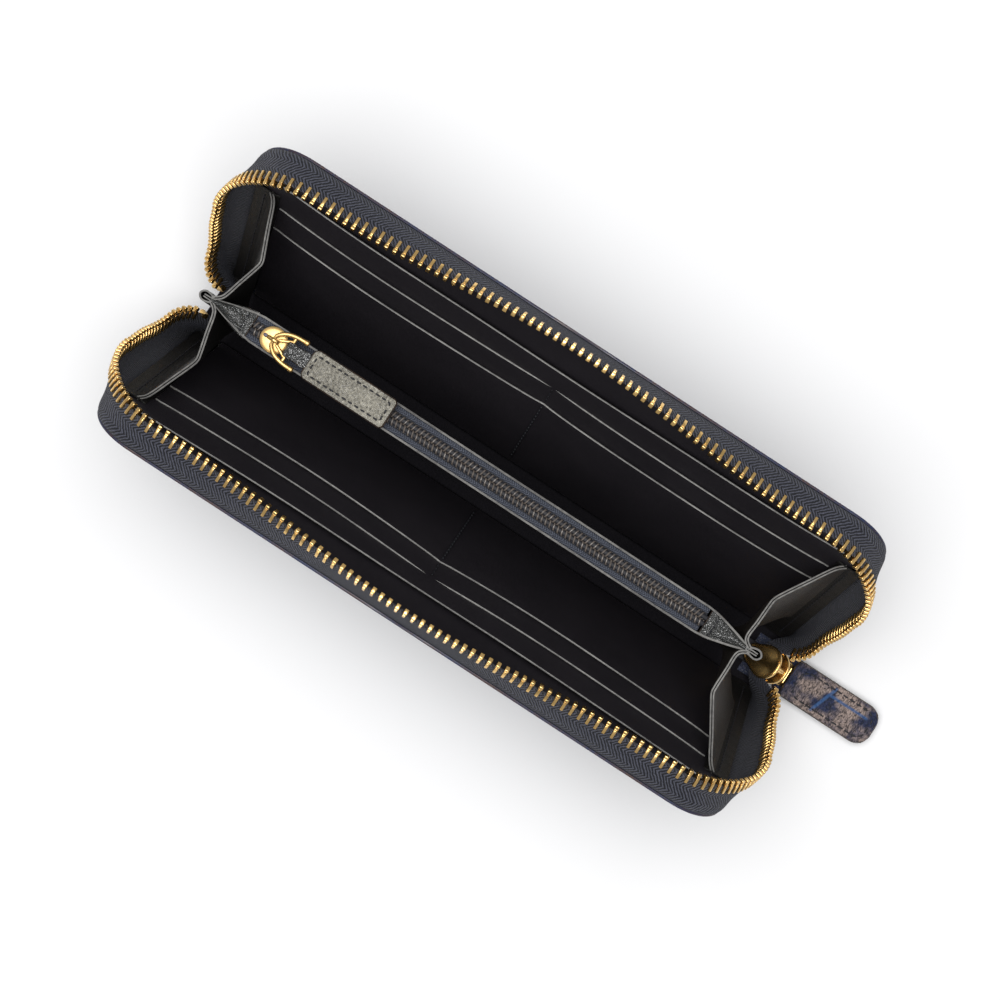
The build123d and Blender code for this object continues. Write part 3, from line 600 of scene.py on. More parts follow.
def pull_leather():
    """Navy leather painted brown-grey on its raised wrinkles, partly as wear and partly as painted
    reflection, with pale blue in its pressed lines.
    """
    n = Nodes("navy_leather_wear_and_painted_reflection")
    start, end, half, cross_x = pull_outline()
    split = n.node("ShaderNodeSeparateXYZ", {"Vector": n.local()})
    x, y = (n.math("MULTIPLY", split.outputs[axis], 1 / MM) for axis in ("X", "Y"))
    lean = n.math("MULTIPLY", y, PULL_CROSS_LEAN)
    from_cross = n.math("ABSOLUTE", n.math("SUBTRACT", n.math("SUBTRACT", x, lean), cross_x))
    cross = n.math("MULTIPLY", n.range(from_cross, 0.25, 0.7, 1.0, 0.0),
                   n.range(n.math("ABSOLUTE", y), half - 1.2, half - 0.6, 1.0, 0.0))
    from_line = n.math("ABSOLUTE", n.math("SUBTRACT", y, half * PULL_LINE_SHARE))
    line = n.math("MULTIPLY", n.range(from_line, 0.2, 0.6, 1.0, 0.0), n.range(x, cross_x, cross_x + 0.8))
    line = n.math("MULTIPLY", line, n.range(x, end - 3.6, end - 2.8, 1.0, 0.0))
    pressed = n.math("MAXIMUM", cross, line)
    stretch = n.node("ShaderNodeMapping", {"Vector": n.local(), "Scale": (1.0, 0.45, 1.0)}).outputs[0]
    wrinkles = n.noise(1500.0, 5.0, 0.6, stretch, 1.2)
    patches = n.noise(150.0, 3.0)
    navy = n.ramp(wrinkles, [(0.35, (0.001, 0.003, 0.011)), (0.65, (0.007, 0.013, 0.05))])
    # The brown-grey tone on the raised wrinkles, away from the near end, is partly wear and partly a painted
    # reflection of the light.
    rubbed_and_reflection = n.ramp(wrinkles, [(0.38, (0.016, 0.011, 0.012)), (0.62, (0.26, 0.2, 0.175))])
    wear_and_reflection = n.math("MULTIPLY", n.range(patches, 0.4, 0.56), n.range(x, start + 2.6, start + 4.6))
    colour = n.mix(wear_and_reflection, navy, rubbed_and_reflection)
    colour = n.mix(n.math("MULTIPLY", pressed, 0.75), colour, (0.025, 0.075, 0.19))
    pebbles = n.voronoi(1 / (0.9 * MM), "DISTANCE_TO_EDGE")
    height = n.math("ADD", n.math("MULTIPLY", n.range(pebbles, 0.0, 0.2), 0.3), wrinkles)
    n.set(Base_Color=colour, Roughness=n.range(wrinkles, 0.3, 0.7, 0.66, 0.46))
    n.set(Normal=n.bump(height, 0.9, 0.25), Specular_IOR_Level=0.25)
    return n.material


OUTER_LEATHER = leather("navy_leather", (0.006, 0.009, 0.022), (0.016, 0.023, 0.056), 0.75,
                        (0.4, 0.58), 0.38, 0.14)
INNER_LEATHER = leather("black_leather", (0.0105, 0.0092, 0.0118), (0.0205, 0.018, 0.0215), 0.45,
                        (0.45, 0.65), 0.2, 0.05)
# A darker, duller copy of the black lining leather for the spine lining deep in the wallet: painted shade.
SHADE_PAINTED_LINING = leather("shade_painted_lining", (0.004, 0.0036, 0.0048), (0.0075, 0.0068, 0.0085), 0.45,
                      (0.7, 0.85), 0.05, 0.05)
GUSSET_LEATHER = leather("gusset_leather", (0.0035, 0.0033, 0.0034), (0.0105, 0.0098, 0.0092), 0.6,
                         (0.45, 0.62), 0.18, 0.12, 0.04)
# A lighter, browner copy of the gusset leather for the right-end gussets: painted sheen.
SHEEN_PAINTED_GUSSET_LEATHER = leather("sheen_painted_gusset_leather", (0.006, 0.005, 0.0045), (0.026, 0.021, 0.017), 0.7,
                              (0.42, 0.6), 0.25, 0.14, 0.1)
# The coin tab's pale grey tones are a painted highlight on dark grained leather.
HIGHLIGHT_PAINTED_COIN_LEATHER = leather("dark_leather_painted_highlight", (0.035, 0.032, 0.027), (0.38, 0.36, 0.3), 0.5,
                       (0.26, 0.4), 0.8, 0.4, 0.15)
PATCH_LEATHER = leather("patch_leather", (0.004, 0.005, 0.005), (0.016, 0.017, 0.016), 0.5,
                        (0.16, 0.3), 1.0, 0.16, 0.06)
PULL_LEATHER = pull_leather()
LIGHT_EDGE = painted_edge("light_edge_paint", (0.10, 0.097, 0.094), (0.21, 0.205, 0.195))
DARK_EDGE = painted_edge("dark_edge_paint", (0.006, 0.013, 0.045), (0.035, 0.016, 0.014))
BROWN_EDGE = painted_edge("brown_edge_paint", (0.012, 0.010, 0.010), (0.05, 0.032, 0.022))
# In both tapes the light colour is painted highlight on the thread crowns.
TAPE_CLOTH = herringbone("zip_tape_twill", 2.9, 1.05, (0.003, 0.0035, 0.006), (0.064, 0.067, 0.09), 0.35)
COIN_TAPE_CLOTH = herringbone("coin_tape_twill", 0.7, 0.6, (0.012, 0.014, 0.021), (0.085, 0.094, 0.12), 0.14)
BRASS = brass("brass_teeth", (0.86, 0.57, 0.22), 0.2)
PALE_BRASS = brass("pale_brass", (0.7, 0.47, 0.19), 0.4)
NYLON = plain("nylon_coil", (0.06, 0.05, 0.043), 0.34, 900.0, 0.02, 0.5)
THREAD = plain("dark_thread", (0.004, 0.004, 0.006), 0.6, 3500.0, 0.06, 0.3)
BOARD = plain("fibre_board", (0.16, 0.13, 0.10), 0.85, 700.0, 0.08, 0.2)


# ---------------------------------------------------------------- covers


def corner_rises(top, corner, straight_steps, corner_steps, bottom=0.0):
    """Heights of the rows of a cover sheet, closer together round its upper corners."""
    straight = np.linspace(bottom, top - corner, straight_steps, endpoint=False)
    turned = top - corner + corner * np.sin(np.linspace(0, math.pi / 2, corner_steps))
    return np.concatenate([straight, turned])


def cover_half_width(rise, half, top, corner):
    """Half the width of a sheet with round upper corners, at a height."""
    over = np.clip(np.asarray(rise, float) - (top - corner), 0, corner)
    return half - corner + np.sqrt(np.maximum(corner**2 - over**2, 0))


def end_weighted(count):
    """Columns from -1 to 1, closer together at both ends."""
    even = np.linspace(-1, 1, count)
    return np.sin(even * math.pi / 2) * 0.5 + even * 0.5


def padding(x, rise):
    """How far the padded cover swells outwards."""
    from_middle = np.abs(rise / (COVER_TOP / 2) - 1)
    return PADDING * (1 - np.abs(x / HALF_LENGTH) ** 6) * np.clip(1 - from_middle**4, 0, 1)


def wrap_thickness(x, rise):
    """The leather is pared thin along its rim."""
    limit = cover_half_width(rise, HALF_LENGTH, COVER_TOP, COVER_CORNER)
    from_rim = np.minimum(limit - np.abs(x), COVER_TOP - rise)
    return EDGE_LEATHER + (LEATHER - EDGE_LEATHER) * smooth_step(from_rim, 0.0, 3.5)


def make_wrap(side):
    """Outer leather from the middle of the spine, round the hinge and up the cover."""
    columns = end_weighted(61)
    rows, thicknesses = [], []
    mid = LEATHER / 2
    radius = HINGE_Z - mid
    section = [(y, mid) for y in np.linspace(0.0, HINGE_Y, 6)]
    section += [(HINGE_Y + radius * math.cos(angle), HINGE_Z + radius * math.sin(angle))
                for angle in np.linspace(-math.pi / 2, -TILT, 9)[1:-1]]
    for y, z in section:
        rows.append(points_at(columns * HALF_LENGTH, side * y, z))
        thicknesses.append(np.full_like(columns, LEATHER))
    for rise in corner_rises(COVER_TOP, COVER_CORNER, 28, 14):
        x = columns * cover_half_width(rise, HALF_LENGTH, COVER_TOP, COVER_CORNER)
        thick = wrap_thickness(x, rise)
        rows.append(on_cover(side, x, rise, LEATHER_INNER_DEPTH - thick / 2 - padding(x, rise)))
        thicknesses.append(thick)
    shape = Shape()
    slab(shape, rows, np.array(thicknesses), rim_slot=1)
    cover = cover_name(side)
    wrap = shape.made(f"{cover}_outer_leather", None, "outer_leather", (OUTER_LEATHER, DARK_EDGE),
                      (f"{cover}_cover_leather", "spine_leather"))
    cover_point = tuple(on_cover(side, 0, 0, LEATHER_INNER_DEPTH - mid) * MM)
    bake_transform(wrap)


def rim_path(side, inset, depth, bottom):
    """A line on the padded cover inside its rim, up one end, along the top and down the other."""
    half, top, corner = HALF_LENGTH - inset, COVER_TOP - inset, COVER_CORNER - inset
    angles = np.linspace(0, math.pi / 2, 16)
    corner_x = half - corner + corner * np.cos(angles)
    corner_rise = top - corner + corner * np.sin(angles)
    x = np.concatenate([[-half], -corner_x, corner_x[::-1], [half]])
    rise = np.concatenate([[bottom], corner_rise, corner_rise[::-1], [bottom]])
    x, rise, _ = resample(points_at(x, rise, 0.0), 1.0).T
    return on_cover(side, x, rise, depth - padding(x, rise))


def make_cover_stitching(side):
    """The seam that holds the tape, seen on the outside of the cover."""
    shape = Shape()
    path = rim_path(side, SEAM_INSET, LEATHER_INNER_DEPTH - LEATHER, 5.0)
    stitches(shape, path, -cover_inward(side), pitch=3.0, length=2.25, radius=0.26)
    cover = cover_name(side)
    shape.made(f"{cover}_cover_stitching", f"{cover}_cover", "outer_leather", (THREAD,))


def make_lining(side):
    """Soft lining sheet over the board, a little slack between its seams."""
    columns = end_weighted(49)
    rows = []
    for rise in corner_rises(LINING_TOP, LINING_CORNER, 20, 10, 1.0):
        x = columns * cover_half_width(rise, LINING_HALF, LINING_TOP, LINING_CORNER)
        slack = 0.12 * np.sin(x / 23.0 + rise / 17.0) * np.sin(x / 9.0)
        rows.append(on_cover(side, x, rise, slack * smooth_step(LINING_TOP - rise, 0, 12)))
    shape = Shape()
    slab(shape, rows, 0.5)
    cover = cover_name(side)
    shape.made(f"{cover}_lining", f"{cover}_cover", "inner_leather", (INNER_LEATHER,),
               (f"{cover}_cover_lining",))


def make_flat_pocket(side, name, node, depth, half_width, top, slack, divided):
    """A pocket sheet with a painted upper edge; its mouth stands off the sheet behind."""
    columns = end_weighted(73)
    x = columns * half_width
    x_share = np.abs(x) / half_width
    mouth = 1 - x_share**4
    if divided:
        mouth = np.sin(math.pi * np.clip(x_share * 1.02, 0, 1)) ** 0.7
    rows = []
    for rise in np.linspace(POCKET_BOTTOM, top, 22):
        opening = smooth_step(rise, top - 32, top)
        lift = slack * mouth * opening
        wave = 0.1 * np.sin(x / 11.0 + side) * opening
        rows.append(on_cover(side, x, rise - 0.9 * lift, depth + lift + wave))
    shape = Shape()
    slab(shape, rows, 0.5, rim_slot=1)
    cover = cover_name(side)
    shape.made(f"{cover}_{name}", f"{cover}_cover", "inner_leather", (INNER_LEATHER, LIGHT_EDGE),
               (f"{cover}_{node}",))


def make_pocket_stitching(side):
    """The row of stitches that divides the card pockets in two."""
    shape = Shape()
    lower = on_cover(side, 0.0, np.linspace(6.0, 66.0, 60), 2.45)
    lower = lower[on_cover(side, 0, 51.5, 2.4)[2] > lower[:, 2]]
    stitches(shape, lower, cover_inward(side), pitch=2.4, length=1.7, radius=0.34)
    upper = on_cover(side, 0.0, np.linspace(53.5, 64.0, 12), 1.75)
    stitches(shape, upper, cover_inward(side), pitch=2.4, length=1.7, radius=0.24)
    cover = cover_name(side)
    shape.made(f"{cover}_pocket_stitching", f"{cover}_cover", "inner_leather", (THREAD,))


def make_binding(side, end):
    """Stitched strip at the end of the cover, beside the zip tape."""
    cover = cover_name(side)
    node = f"{cover}_{end_name(end)}_binding"
    high = (box_mm(node)[1].z - HINGE_Z) / TILT_COS
    across = np.linspace(-1, 1, 11)
    rows = []
    for rise in np.linspace(BINDING_BOTTOM, high, 44):
        x = end * (BINDING_X + BINDING_HALF_WIDTH * across)
        depth = 1.35 + 0.35 * (1 - across**2) + 0.05 * math.sin(rise * 1.3)
        rows.append(on_cover(side, x, rise, depth))
    shape = Shape()
    slab(shape, rows, 0.5)
    seam = on_cover(side, end * (BINDING_X + 0.6), np.linspace(4.0, high - 1, 60), 1.95)
    stitches(shape, seam, cover_inward(side), pitch=2.2, length=1.5, radius=0.24, slot=1)
    shape.made(f"{node}_strip", f"{cover}_cover", "inner_leather", (GUSSET_LEATHER, THREAD), (node,))


# ---------------------------------------------------------------- main zip


def bow(x):
    """1 at mid length, falling to 0 at the corners."""
    return np.cos(math.pi * np.clip(np.abs(x) / ZIP_CORNER_X, 0, 1) / 2) ** 2


def short_side_depth(rise):
    """Depth of the free edge on a short side: it draws back above the slider, then returns."""
    depth = MESHED_DEPTH + smooth_step(rise, *SPLIT_RISES) * (SPLIT_DEPTH - MESHED_DEPTH)
    return depth + smooth_step(rise, *CORNER_RISES) * (CORNER_DEPTH - SPLIT_DEPTH)


def sewn_corner(shares):
    """The sewn edge round the cover's corner, at shares of its length."""
    arc = np.linspace(0, math.pi / 2, 24)
    centre_x, centre_rise = SEWN_X - SEWN_CORNER, SEWN_TOP - SEWN_CORNER
    x = np.concatenate([[SEWN_X], centre_x + SEWN_CORNER * np.cos(arc), [ZIP_CORNER_X]])
    rise = np.concatenate([[ZIP_CORNER_RISE], centre_rise + SEWN_CORNER * np.sin(arc), [SEWN_TOP]])
    length = path_length(np.stack([x, rise], axis=1))
    return np.stack([np.interp(shares * length[-1], length, values) for values in (x, rise)])


def half_zip(end_angle):
    """Free and sewn edges of the tape, from one lower end to mid length (right side)."""
    bend_rise = ZIP_BEND_Z - HINGE_Z
    angles = np.radians(np.linspace(-end_angle, 0, 22, endpoint=False))
    drawn_in = BEND_DRAWN_IN * smooth_step(angles, *np.radians(DRAWN_IN_ANGLES))
    bend = np.stack([ZIP_BEND_X + ZIP_BEND_RADIUS * np.cos(angles) - drawn_in,
                     bend_rise + ZIP_BEND_RADIUS * np.sin(angles)])
    rises = np.linspace(bend_rise, ZIP_CORNER_RISE, 24, endpoint=False)
    swell = STRAIGHT_SWELL * smooth_step(rises, bend_rise - SWELL_LOWERED, SWELL_TOP_RISE)
    straight = np.stack([ZIP_EDGE_X + (swell - BEND_DRAWN_IN), rises])
    side_free = np.concatenate([bend, straight], axis=1)
    side_rises = side_free[1]
    tuck = TAPE_TUCK * smooth_step(side_rises, *TUCK_RISES)
    side_sewn = np.stack([np.full_like(side_rises, SEWN_X), side_rises - tuck])
    turn = np.linspace(0, math.pi / 2, 52)
    corner_reach = ZIP_EDGE_X + ZIP_SIDE_SWELL - ZIP_CORNER_X
    corner_free = np.stack([ZIP_CORNER_X + corner_reach * np.cos(turn),
                            ZIP_CORNER_RISE + (ZIP_TOP_RISE - ZIP_CORNER_RISE) * np.sin(turn)])
    length = path_length(corner_free.T)
    corner_sewn = sewn_corner(length / length[-1])
    x = np.linspace(ZIP_CORNER_X, 0, 64, endpoint=False)[1:]
    top_free = np.stack([x, ZIP_TOP_RISE + ZIP_BOW * bow(x)])
    top_sewn = np.stack([x, np.full_like(x, SEWN_TOP)])
    depth = np.concatenate([short_side_depth(side_rises), np.full(len(turn), CORNER_DEPTH),
                            CORNER_DEPTH + bow(x) * (MIDDLE_DEPTH - CORNER_DEPTH)])
    free = np.concatenate([side_free, corner_free, top_free], axis=1)
    sewn = np.concatenate([side_sewn, corner_sewn, top_sewn], axis=1)
    return np.stack([*free, depth, *sewn], axis=1)


def zip_stations():
    """Every station: free x, rise and depth, then sewn x and rise, stop end first."""
    left, right = half_zip(TAIL_ANGLE), half_zip(TAIL_ANGLE)[::-1]
    left[:, [0, 3]] *= -1
    middle = [[0.0, ZIP_TOP_RISE + ZIP_BOW, MIDDLE_DEPTH, 0.0, SEWN_TOP]]
    return np.concatenate([left, middle, right])


def tape_rows(side):
    """Middle points across the tape at every station, from the rim to the free edge."""
    free_x, free_rise, free_depth, sewn_x, sewn_rise = zip_stations().T
    on_top = free_rise > ZIP_TOP_RISE - 0.01
    spread = 0.15 + 0.75 * bow(free_x) * on_top
    out = points_at(free_x - sewn_x, free_rise - sewn_rise, 0.0)
    free = points_at(free_x, free_rise, free_depth)
    sewn = points_at(sewn_x, sewn_rise, SEWN_DEPTH)
    along = np.gradient(sewn, axis=0)
    rim_out = unit(points_at(-along[:, 1], along[:, 0], 0.0))
    last_turn = unit(out * spread[:, None] + points_at(0.0, 0.0, free_depth - 0.9))
    knee = free - last_turn * TAPE_KNEE
    shoulder = sewn + rim_out * 1.9 + np.array((0, 0, 1.3))
    t = np.linspace(0, 1, 13)[None, :, None]
    a, b, c, d = (p[:, None] for p in (sewn, shoulder, knee, free))
    local = a * (1 - t)**3 + 3 * b * t * (1 - t)**2 + 3 * c * t**2 * (1 - t) + d * t**3
    return on_cover(side, local[..., 0], local[..., 1], local[..., 2])


def make_tape(side):
    """Woven tape that arches from the rim to the teeth, with a cord along its free edge."""
    rows = tape_rows(side)
    along, across = path_length(rows[:, -1]), path_length(rows)
    across = across[:, -1:] - across
    uvs = np.stack(np.broadcast_arrays(along[:, None], across), axis=-1)
    shape = Shape()
    slab(shape, rows, TAPE, uvs=uvs)
    tube(shape, rows[::2, -1], CORD_RADIUS, sides=8)
    cover = cover_name(side)
    shape.made(f"{cover}_twill_tape", f"{cover}_cover", "zip_tape", (TAPE_CLOTH,), (f"{cover}_zip_tape",))


def tooth_template():
    """One cast tooth: x along the zip, y towards its tip, z out of the tape's face."""
    shells = []
    for face in (-1, 1):
        points, faces = block((-0.43, -1.55, 0.2), (0.43, 0.9, 0.98), 0.14)
        shells.append((points * (1, 1, face), faces))
    shells.append(block((-0.46, 0.4, -0.85), (0.46, 1.3, 0.85), 0.14))
    shells.append(block((-0.6, 1.1, -0.8), (0.6, 2.2, 0.8), 0.24, 3))
    return shells


def tooth_frames(side, first):
    """Origin and directions of each tooth along the tape's free edge."""
    rows = tape_rows(side)
    edge = rows[:, -1]
    length = path_length(edge)
    across = unit(rows[:, -1] - rows[:, -3])
    tangent = unit(np.gradient(edge, axis=0))
    start = first + ZIP_BEND_RADIUS * math.radians(TAIL_ANGLE - STOP_END_ANGLE)
    stop = length[-1] - ZIP_BEND_RADIUS * math.radians(TAIL_ANGLE - OPEN_END_ANGLE)
    for distance in np.arange(start, stop, TOOTH_PITCH):
        origin, tip, run = (np.array([np.interp(distance, length, field[:, k]) for k in range(3)])
                            for field in (edge, across, tangent))
        run = run / np.linalg.norm(run)
        tip = unit(tip - run * np.dot(tip, run))
        yield origin, run, tip, np.cross(run, tip)


def make_teeth(side):
    """The row of metal teeth clamped on the cord."""
    shape = Shape()
    template = tooth_template()
    first = 2.0 if side > 0 else 2.0 + TOOTH_PITCH / 2
    for origin, run, tip, normal in tooth_frames(side, first):
        for points, faces in template:
            shape.add(placed(points, origin, run, tip, normal), faces)
    cover = cover_name(side)
    shape.made(f"{cover}_teeth_row", f"{cover}_cover", "gold_metal", (BRASS,), (f"{cover}_zip_teeth",))


# ---------------------------------------------------------------- gussets


def fold_top(side, end):
    """Where the gusset folds at its upper edge."""
    sewn = on_cover(side, end * GUSSET_X, GUSSET_TOP, GUSSET_DEPTH)
    pinch = np.array((pocket_end_x(end), side * GUSSET_PINCH_Y, sewn[2]))
    span = sewn - pinch
    inward = unit(np.array((-end * abs(span[1]), end * side * span[0], 0.0)))
    if inward[0] * end > 0:
        inward = -inward
    reach = math.sqrt(GUSSET_WIDTH**2 - (np.linalg.norm(span) / 2) ** 2)
    return (sewn + pinch) / 2 + inward * reach


def gusset_section(side, end, z):
    """Seam flange, seam, fold and pinch of the gusset at one height."""
    top = fold_top(side, end)
    sewn_high = on_cover(side, end * GUSSET_X, GUSSET_TOP, GUSSET_DEPTH)
    pinch_high = np.array((pocket_end_x(end), side * GUSSET_PINCH_Y, top[2]))
    up_cover = np.array((0.0, side * TILT_SIN, TILT_COS))
    outer_normal = np.cross(up_cover, top - sewn_high)
    inner_normal = np.cross(np.array((0.0, 0.0, 1.0)), top - pinch_high)
    direction = np.cross(outer_normal, inner_normal)
    fold = top + direction * ((z - top[2]) / direction[2])
    shift_x, shift_y = FOLD_SHIFT[end]
    fold = fold + np.array((end * shift_x, -side * shift_y, 0.0)) * (z / top[2])
    rise = (z - HINGE_Z - GUSSET_DEPTH * TILT_SIN) / TILT_COS
    sewn = on_cover(side, end * GUSSET_X, rise, GUSSET_DEPTH)
    pinch = np.array((pinch_x(end), side * 0.75, z))
    flange = on_cover(side, end * (GUSSET_X + 1.8), rise, 1.5)
    return flange, sewn, fold, pinch


def gusset_curve(side, end, z):
    """Smooth horizontal curve of the soft gusset at one height."""
    flange, sewn, fold, pinch = gusset_section(side, end, z)
    neck = pinch + np.array((-end * 1.9, side * 1.9, 0.0))
    first, second = fold - sewn, neck - fold
    points = [flange, sewn + first * 0.06, sewn + first * 0.45, sewn + first * 0.86]
    points += [fold * 0.95 + (sewn + neck) * 0.025, fold + second * 0.14, fold + second * 0.6, neck]
    points += [pinch, pinch + np.array((end * 0.9, 0.0, 0.0))]
    return spline(points, 7)


def make_gusset(side, end):
    """Two thin leathers, sewn back to back, from the cover to the coin pocket's end."""
    cover, place = cover_name(side), end_name(end)
    nodes = tuple(f"{cover}_{place}_{layer}_gusset" for layer in ("outer", "inner"))
    low = box_mm(nodes[0])[0].z - 0.5
    high = fold_top(side, end)[2] + 0.4
    neck = high - 4
    heights = [*np.linspace(low, neck, 14, endpoint=False), *np.linspace(neck, high, 6)]
    rows = np.array([gusset_curve(side, end, z) for z in heights])
    ripple = np.outer(np.sin(np.linspace(0, 7, len(rows))), np.sin(np.linspace(0, 9, rows.shape[1])))
    normals = grid_normals(rows)
    rows = rows + normals * ripple[..., None] * 0.18
    shape = Shape()
    for offset in (-0.34, 0.34):
        slab(shape, rows + normals * offset, 0.42, rim_slot=1)
    slab(shape, rows[:-2], 0.5, slot=2, rim_slot=2)
    # The right-end gussets take the lighter copy of the leather as painted sheen.
    leather_here = SHEEN_PAINTED_GUSSET_LEATHER if end > 0 else GUSSET_LEATHER
    made = shape.made(f"{cover}_{place}_gusset", None, "inner_leather", (leather_here, LIGHT_EDGE, THREAD),
                      nodes)
    seam = on_cover(side, end * GUSSET_X, GUSSET_TOP * 0.75, GUSSET_DEPTH)
    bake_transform(made)


def make_pinch_loop(end):
    """The gussets' leather wrapped round the pointed end of the coin pocket."""
    start = pinch_x(end)
    low = box_mm(f"back_{end_name(end)}_outer_gusset")[0].z
    top = fold_top(1, end)[2] + 0.5
    reach = 4.1
    outline = [(0.2, 0.7), (1.3, 1.15), (2.6, 1.35), (3.6, 0.95), (reach, 0.0)]
    outline += [(x, -y) for x, y in outline[-2::-1]]
    ring = spline([(start + end * x, y, 0.0) for x, y in outline], 7)
    core = spline([(start + end * x, y, 0.0) for x, y in ((-0.8, 0.28), (0.8, 0.36), (2.9, 0.3))], 6)
    shape = Shape()
    heights = np.linspace(low + 1.0, top, 12)
    for path, thickness in ((ring, 0.5), (core, 0.34), (core * (1, -1, 1), 0.34)):
        rows = np.array([path * (1, 1, 0) + np.array((0, 0, z)) for z in heights])
        slab(shape, rows, thickness, rim_slot=1)
    shape.made(f"{end_name(end)}_pinch_loop", "wallet_spine", "inner_leather", (GUSSET_LEATHER, LIGHT_EDGE))


# ---------------------------------------------------------------- coin pocket


def coin_wall_path(side):
    """The wall's line seen from above, from its left point to its right point."""
    shoulder = COIN_HALF_WIDTH - 0.3
    left, right = pinch_x(-1), pinch_x(1)
    from_end = [(0.0, 0.4), (6.0, 2.2), (COIN_TAPER, shoulder - 0.2), (20.0, shoulder)]
    points = [(left + x, y) for x, y in from_end]
    points += [(-30.0, shoulder + 0.05), (0.0, shoulder), (30.0, shoulder + 0.05)]
    points += [(right - x, y) for x, y in from_end[::-1]]
    return spline([(x, side * y, 0.0) for x, y in points], 10)


def make_coin_wall(side):
    """One wall of the coin pocket, a little fuller at mid height."""
    path = coin_wall_path(side)
    low = COIN_LOW.z
    rows = []
    for z in np.linspace(low, COIN_TOP_Z + 0.35, 16):
        share = (z - low) / (COIN_TOP_Z - low)
        full = 1 + 0.16 * math.sin(math.pi * share)
        rows.append(path * (1, full, 0) + np.array((0, 0, z)))
    shape = Shape()
    slab(shape, rows, 0.55, rim_slot=1)
    cover = cover_name(side)
    shape.made(f"coin_pocket_{cover}_leather", "wallet_spine", "inner_leather",
               (INNER_LEATHER, LIGHT_EDGE), (f"coin_pocket_{cover}_wall",))


def make_coin_tape(side):
    """Half of the coin pocket's woven zip tape, with its line of stitches."""
    cover = cover_name(side)
    low, high = box_mm(f"coin_zip_{cover}_tape")
    inner, outer = 0.35, COIN_HALF_WIDTH - 0.75
    across = np.linspace(inner, outer, 9)
    xs = np.arange(low.x, high.x + 0.5, 2.0)
    dip = 0.25 * np.sin(np.linspace(0, math.pi, len(across)))
    rows = [points_at(x, side * across, low.z + 0.3 - dip + 0.05 * math.sin(x / 7)) for x in xs]
    u, v = np.meshgrid(across, xs)
    shape = Shape()
    slab(shape, rows, 0.45, uvs=np.stack([v, u], axis=-1))
    edge = np.array([(x, side * 1.95, low.z + 0.36) for x in xs])
    stitches(shape, edge, (0, 0, 1), pitch=1.3, length=0.9, radius=0.2, slot=1)
    shape.made(f"coin_zip_{cover}_cloth", "wallet_spine", "zip_tape", (COIN_TAPE_CLOTH, THREAD),
               (f"coin_zip_{cover}_tape",))


def make_coin_coil(side):
    """Half of the coin zip's chain: a spiral nylon coil round a flat cord."""
    cover = cover_name(side)
    low, high = box_mm(f"coin_zip_{cover}_coil")
    turns = int((high.x - low.x - 0.6) / COIN_COIL_PITCH)
    steps = 16
    angle = np.arange(turns * steps) * 2 * math.pi / steps
    offset = COIN_COIL_PITCH / 2 if side < 0 else 0.0
    x = low.x + 0.3 + angle / (2 * math.pi) * COIN_COIL_PITCH + offset
    y = side * (0.86 - 0.86 * np.cos(angle))
    z = (low.z + high.z) / 2 + 0.5 * np.sin(angle)
    coil = Shape()
    tube(coil, points_at(x, y, z), 0.24, sides=7)
    cord = resample([(place, side * 0.88, low.z + 0.62) for place in (low.x, high.x)], 4.0)
    tube(coil, cord, 0.72, sides=10, slot=1, flatten=0.45)
    coil.made(f"coin_zip_{cover}_spiral", "wallet_spine", "coil_nylon", (NYLON, THREAD),
              (f"coin_zip_{cover}_coil",))


def make_end_patch(end):
    """Leather folded over the end of the coin zip, narrowing to a ridge at the pinch."""
    node = f"coin_pocket_{end_name(end)}_patch"
    low, high = box_mm(node)
    zip_x = low.x if end > 0 else high.x
    tip_x = pinch_x(end) + end * 0.8
    rows = []
    across = np.linspace(-1, 1, 25)
    fullness = 0.4 if end > 0 else 1.0
    for t in np.linspace(0, 1, 48):
        x = zip_x + (tip_x - zip_x) * t
        half = 0.5 + (COIN_HALF_WIDTH - 0.7) * (1 - smooth_step(t, -0.05, 1.05)) ** 0.9
        ridge = 0.3 + fullness * smooth_step(t, 0.16, 0.6) * smooth_step(t, 1.1, 0.7)
        channel = -0.4 * math.exp(-((t - COIN_SEAM_SHARE) / 0.04) ** 2)
        crest = low.z + 0.35 + ridge + channel
        z = crest - (0.9 + 1.5 * smooth_step(t, 0.1, 0.6)) * np.abs(across) ** 1.8
        pleated = smooth_step(t, COIN_SEAM_SHARE, 0.24) * smooth_step(t, 0.55, 0.3)
        pleats = 0.13 * np.sin(across * 13 + 0.4 * end) * pleated
        dent = 0.16 * smooth_step(t, 0.3, 0.6) * np.sin(across * 4 + t * 9)
        rows.append(points_at(x, across * half, z + pleats + dent))
    shape = Shape()
    slab(shape, rows, 0.6, rim_slot=1)
    seam_x = zip_x + (tip_x - zip_x) * COIN_SEAM_SHARE
    seam = np.array([(seam_x, y, low.z + 0.5 - 0.05 * y * y) for y in np.linspace(-3.3, 3.3, 20)])
    stitches(shape, seam, (0, 0, 1), pitch=1.6, length=1.1, radius=0.24, slot=2)
    shape.made(f"coin_{end_name(end)}_end_patch", "wallet_spine", "inner_leather",
               (PATCH_LEATHER, BROWN_EDGE, THREAD), (node,))


# ---------------------------------------------------------------- coin slider


def ellipse(radius_x, radius_y, count=40, centre=(0.0, 0.0)):
    """Outline of an oval."""
    angles = np.linspace(0, 2 * math.pi, count, endpoint=False)
    return [(centre[0] + radius_x * math.cos(a), centre[1] + radius_y * math.sin(a)) for a in angles]


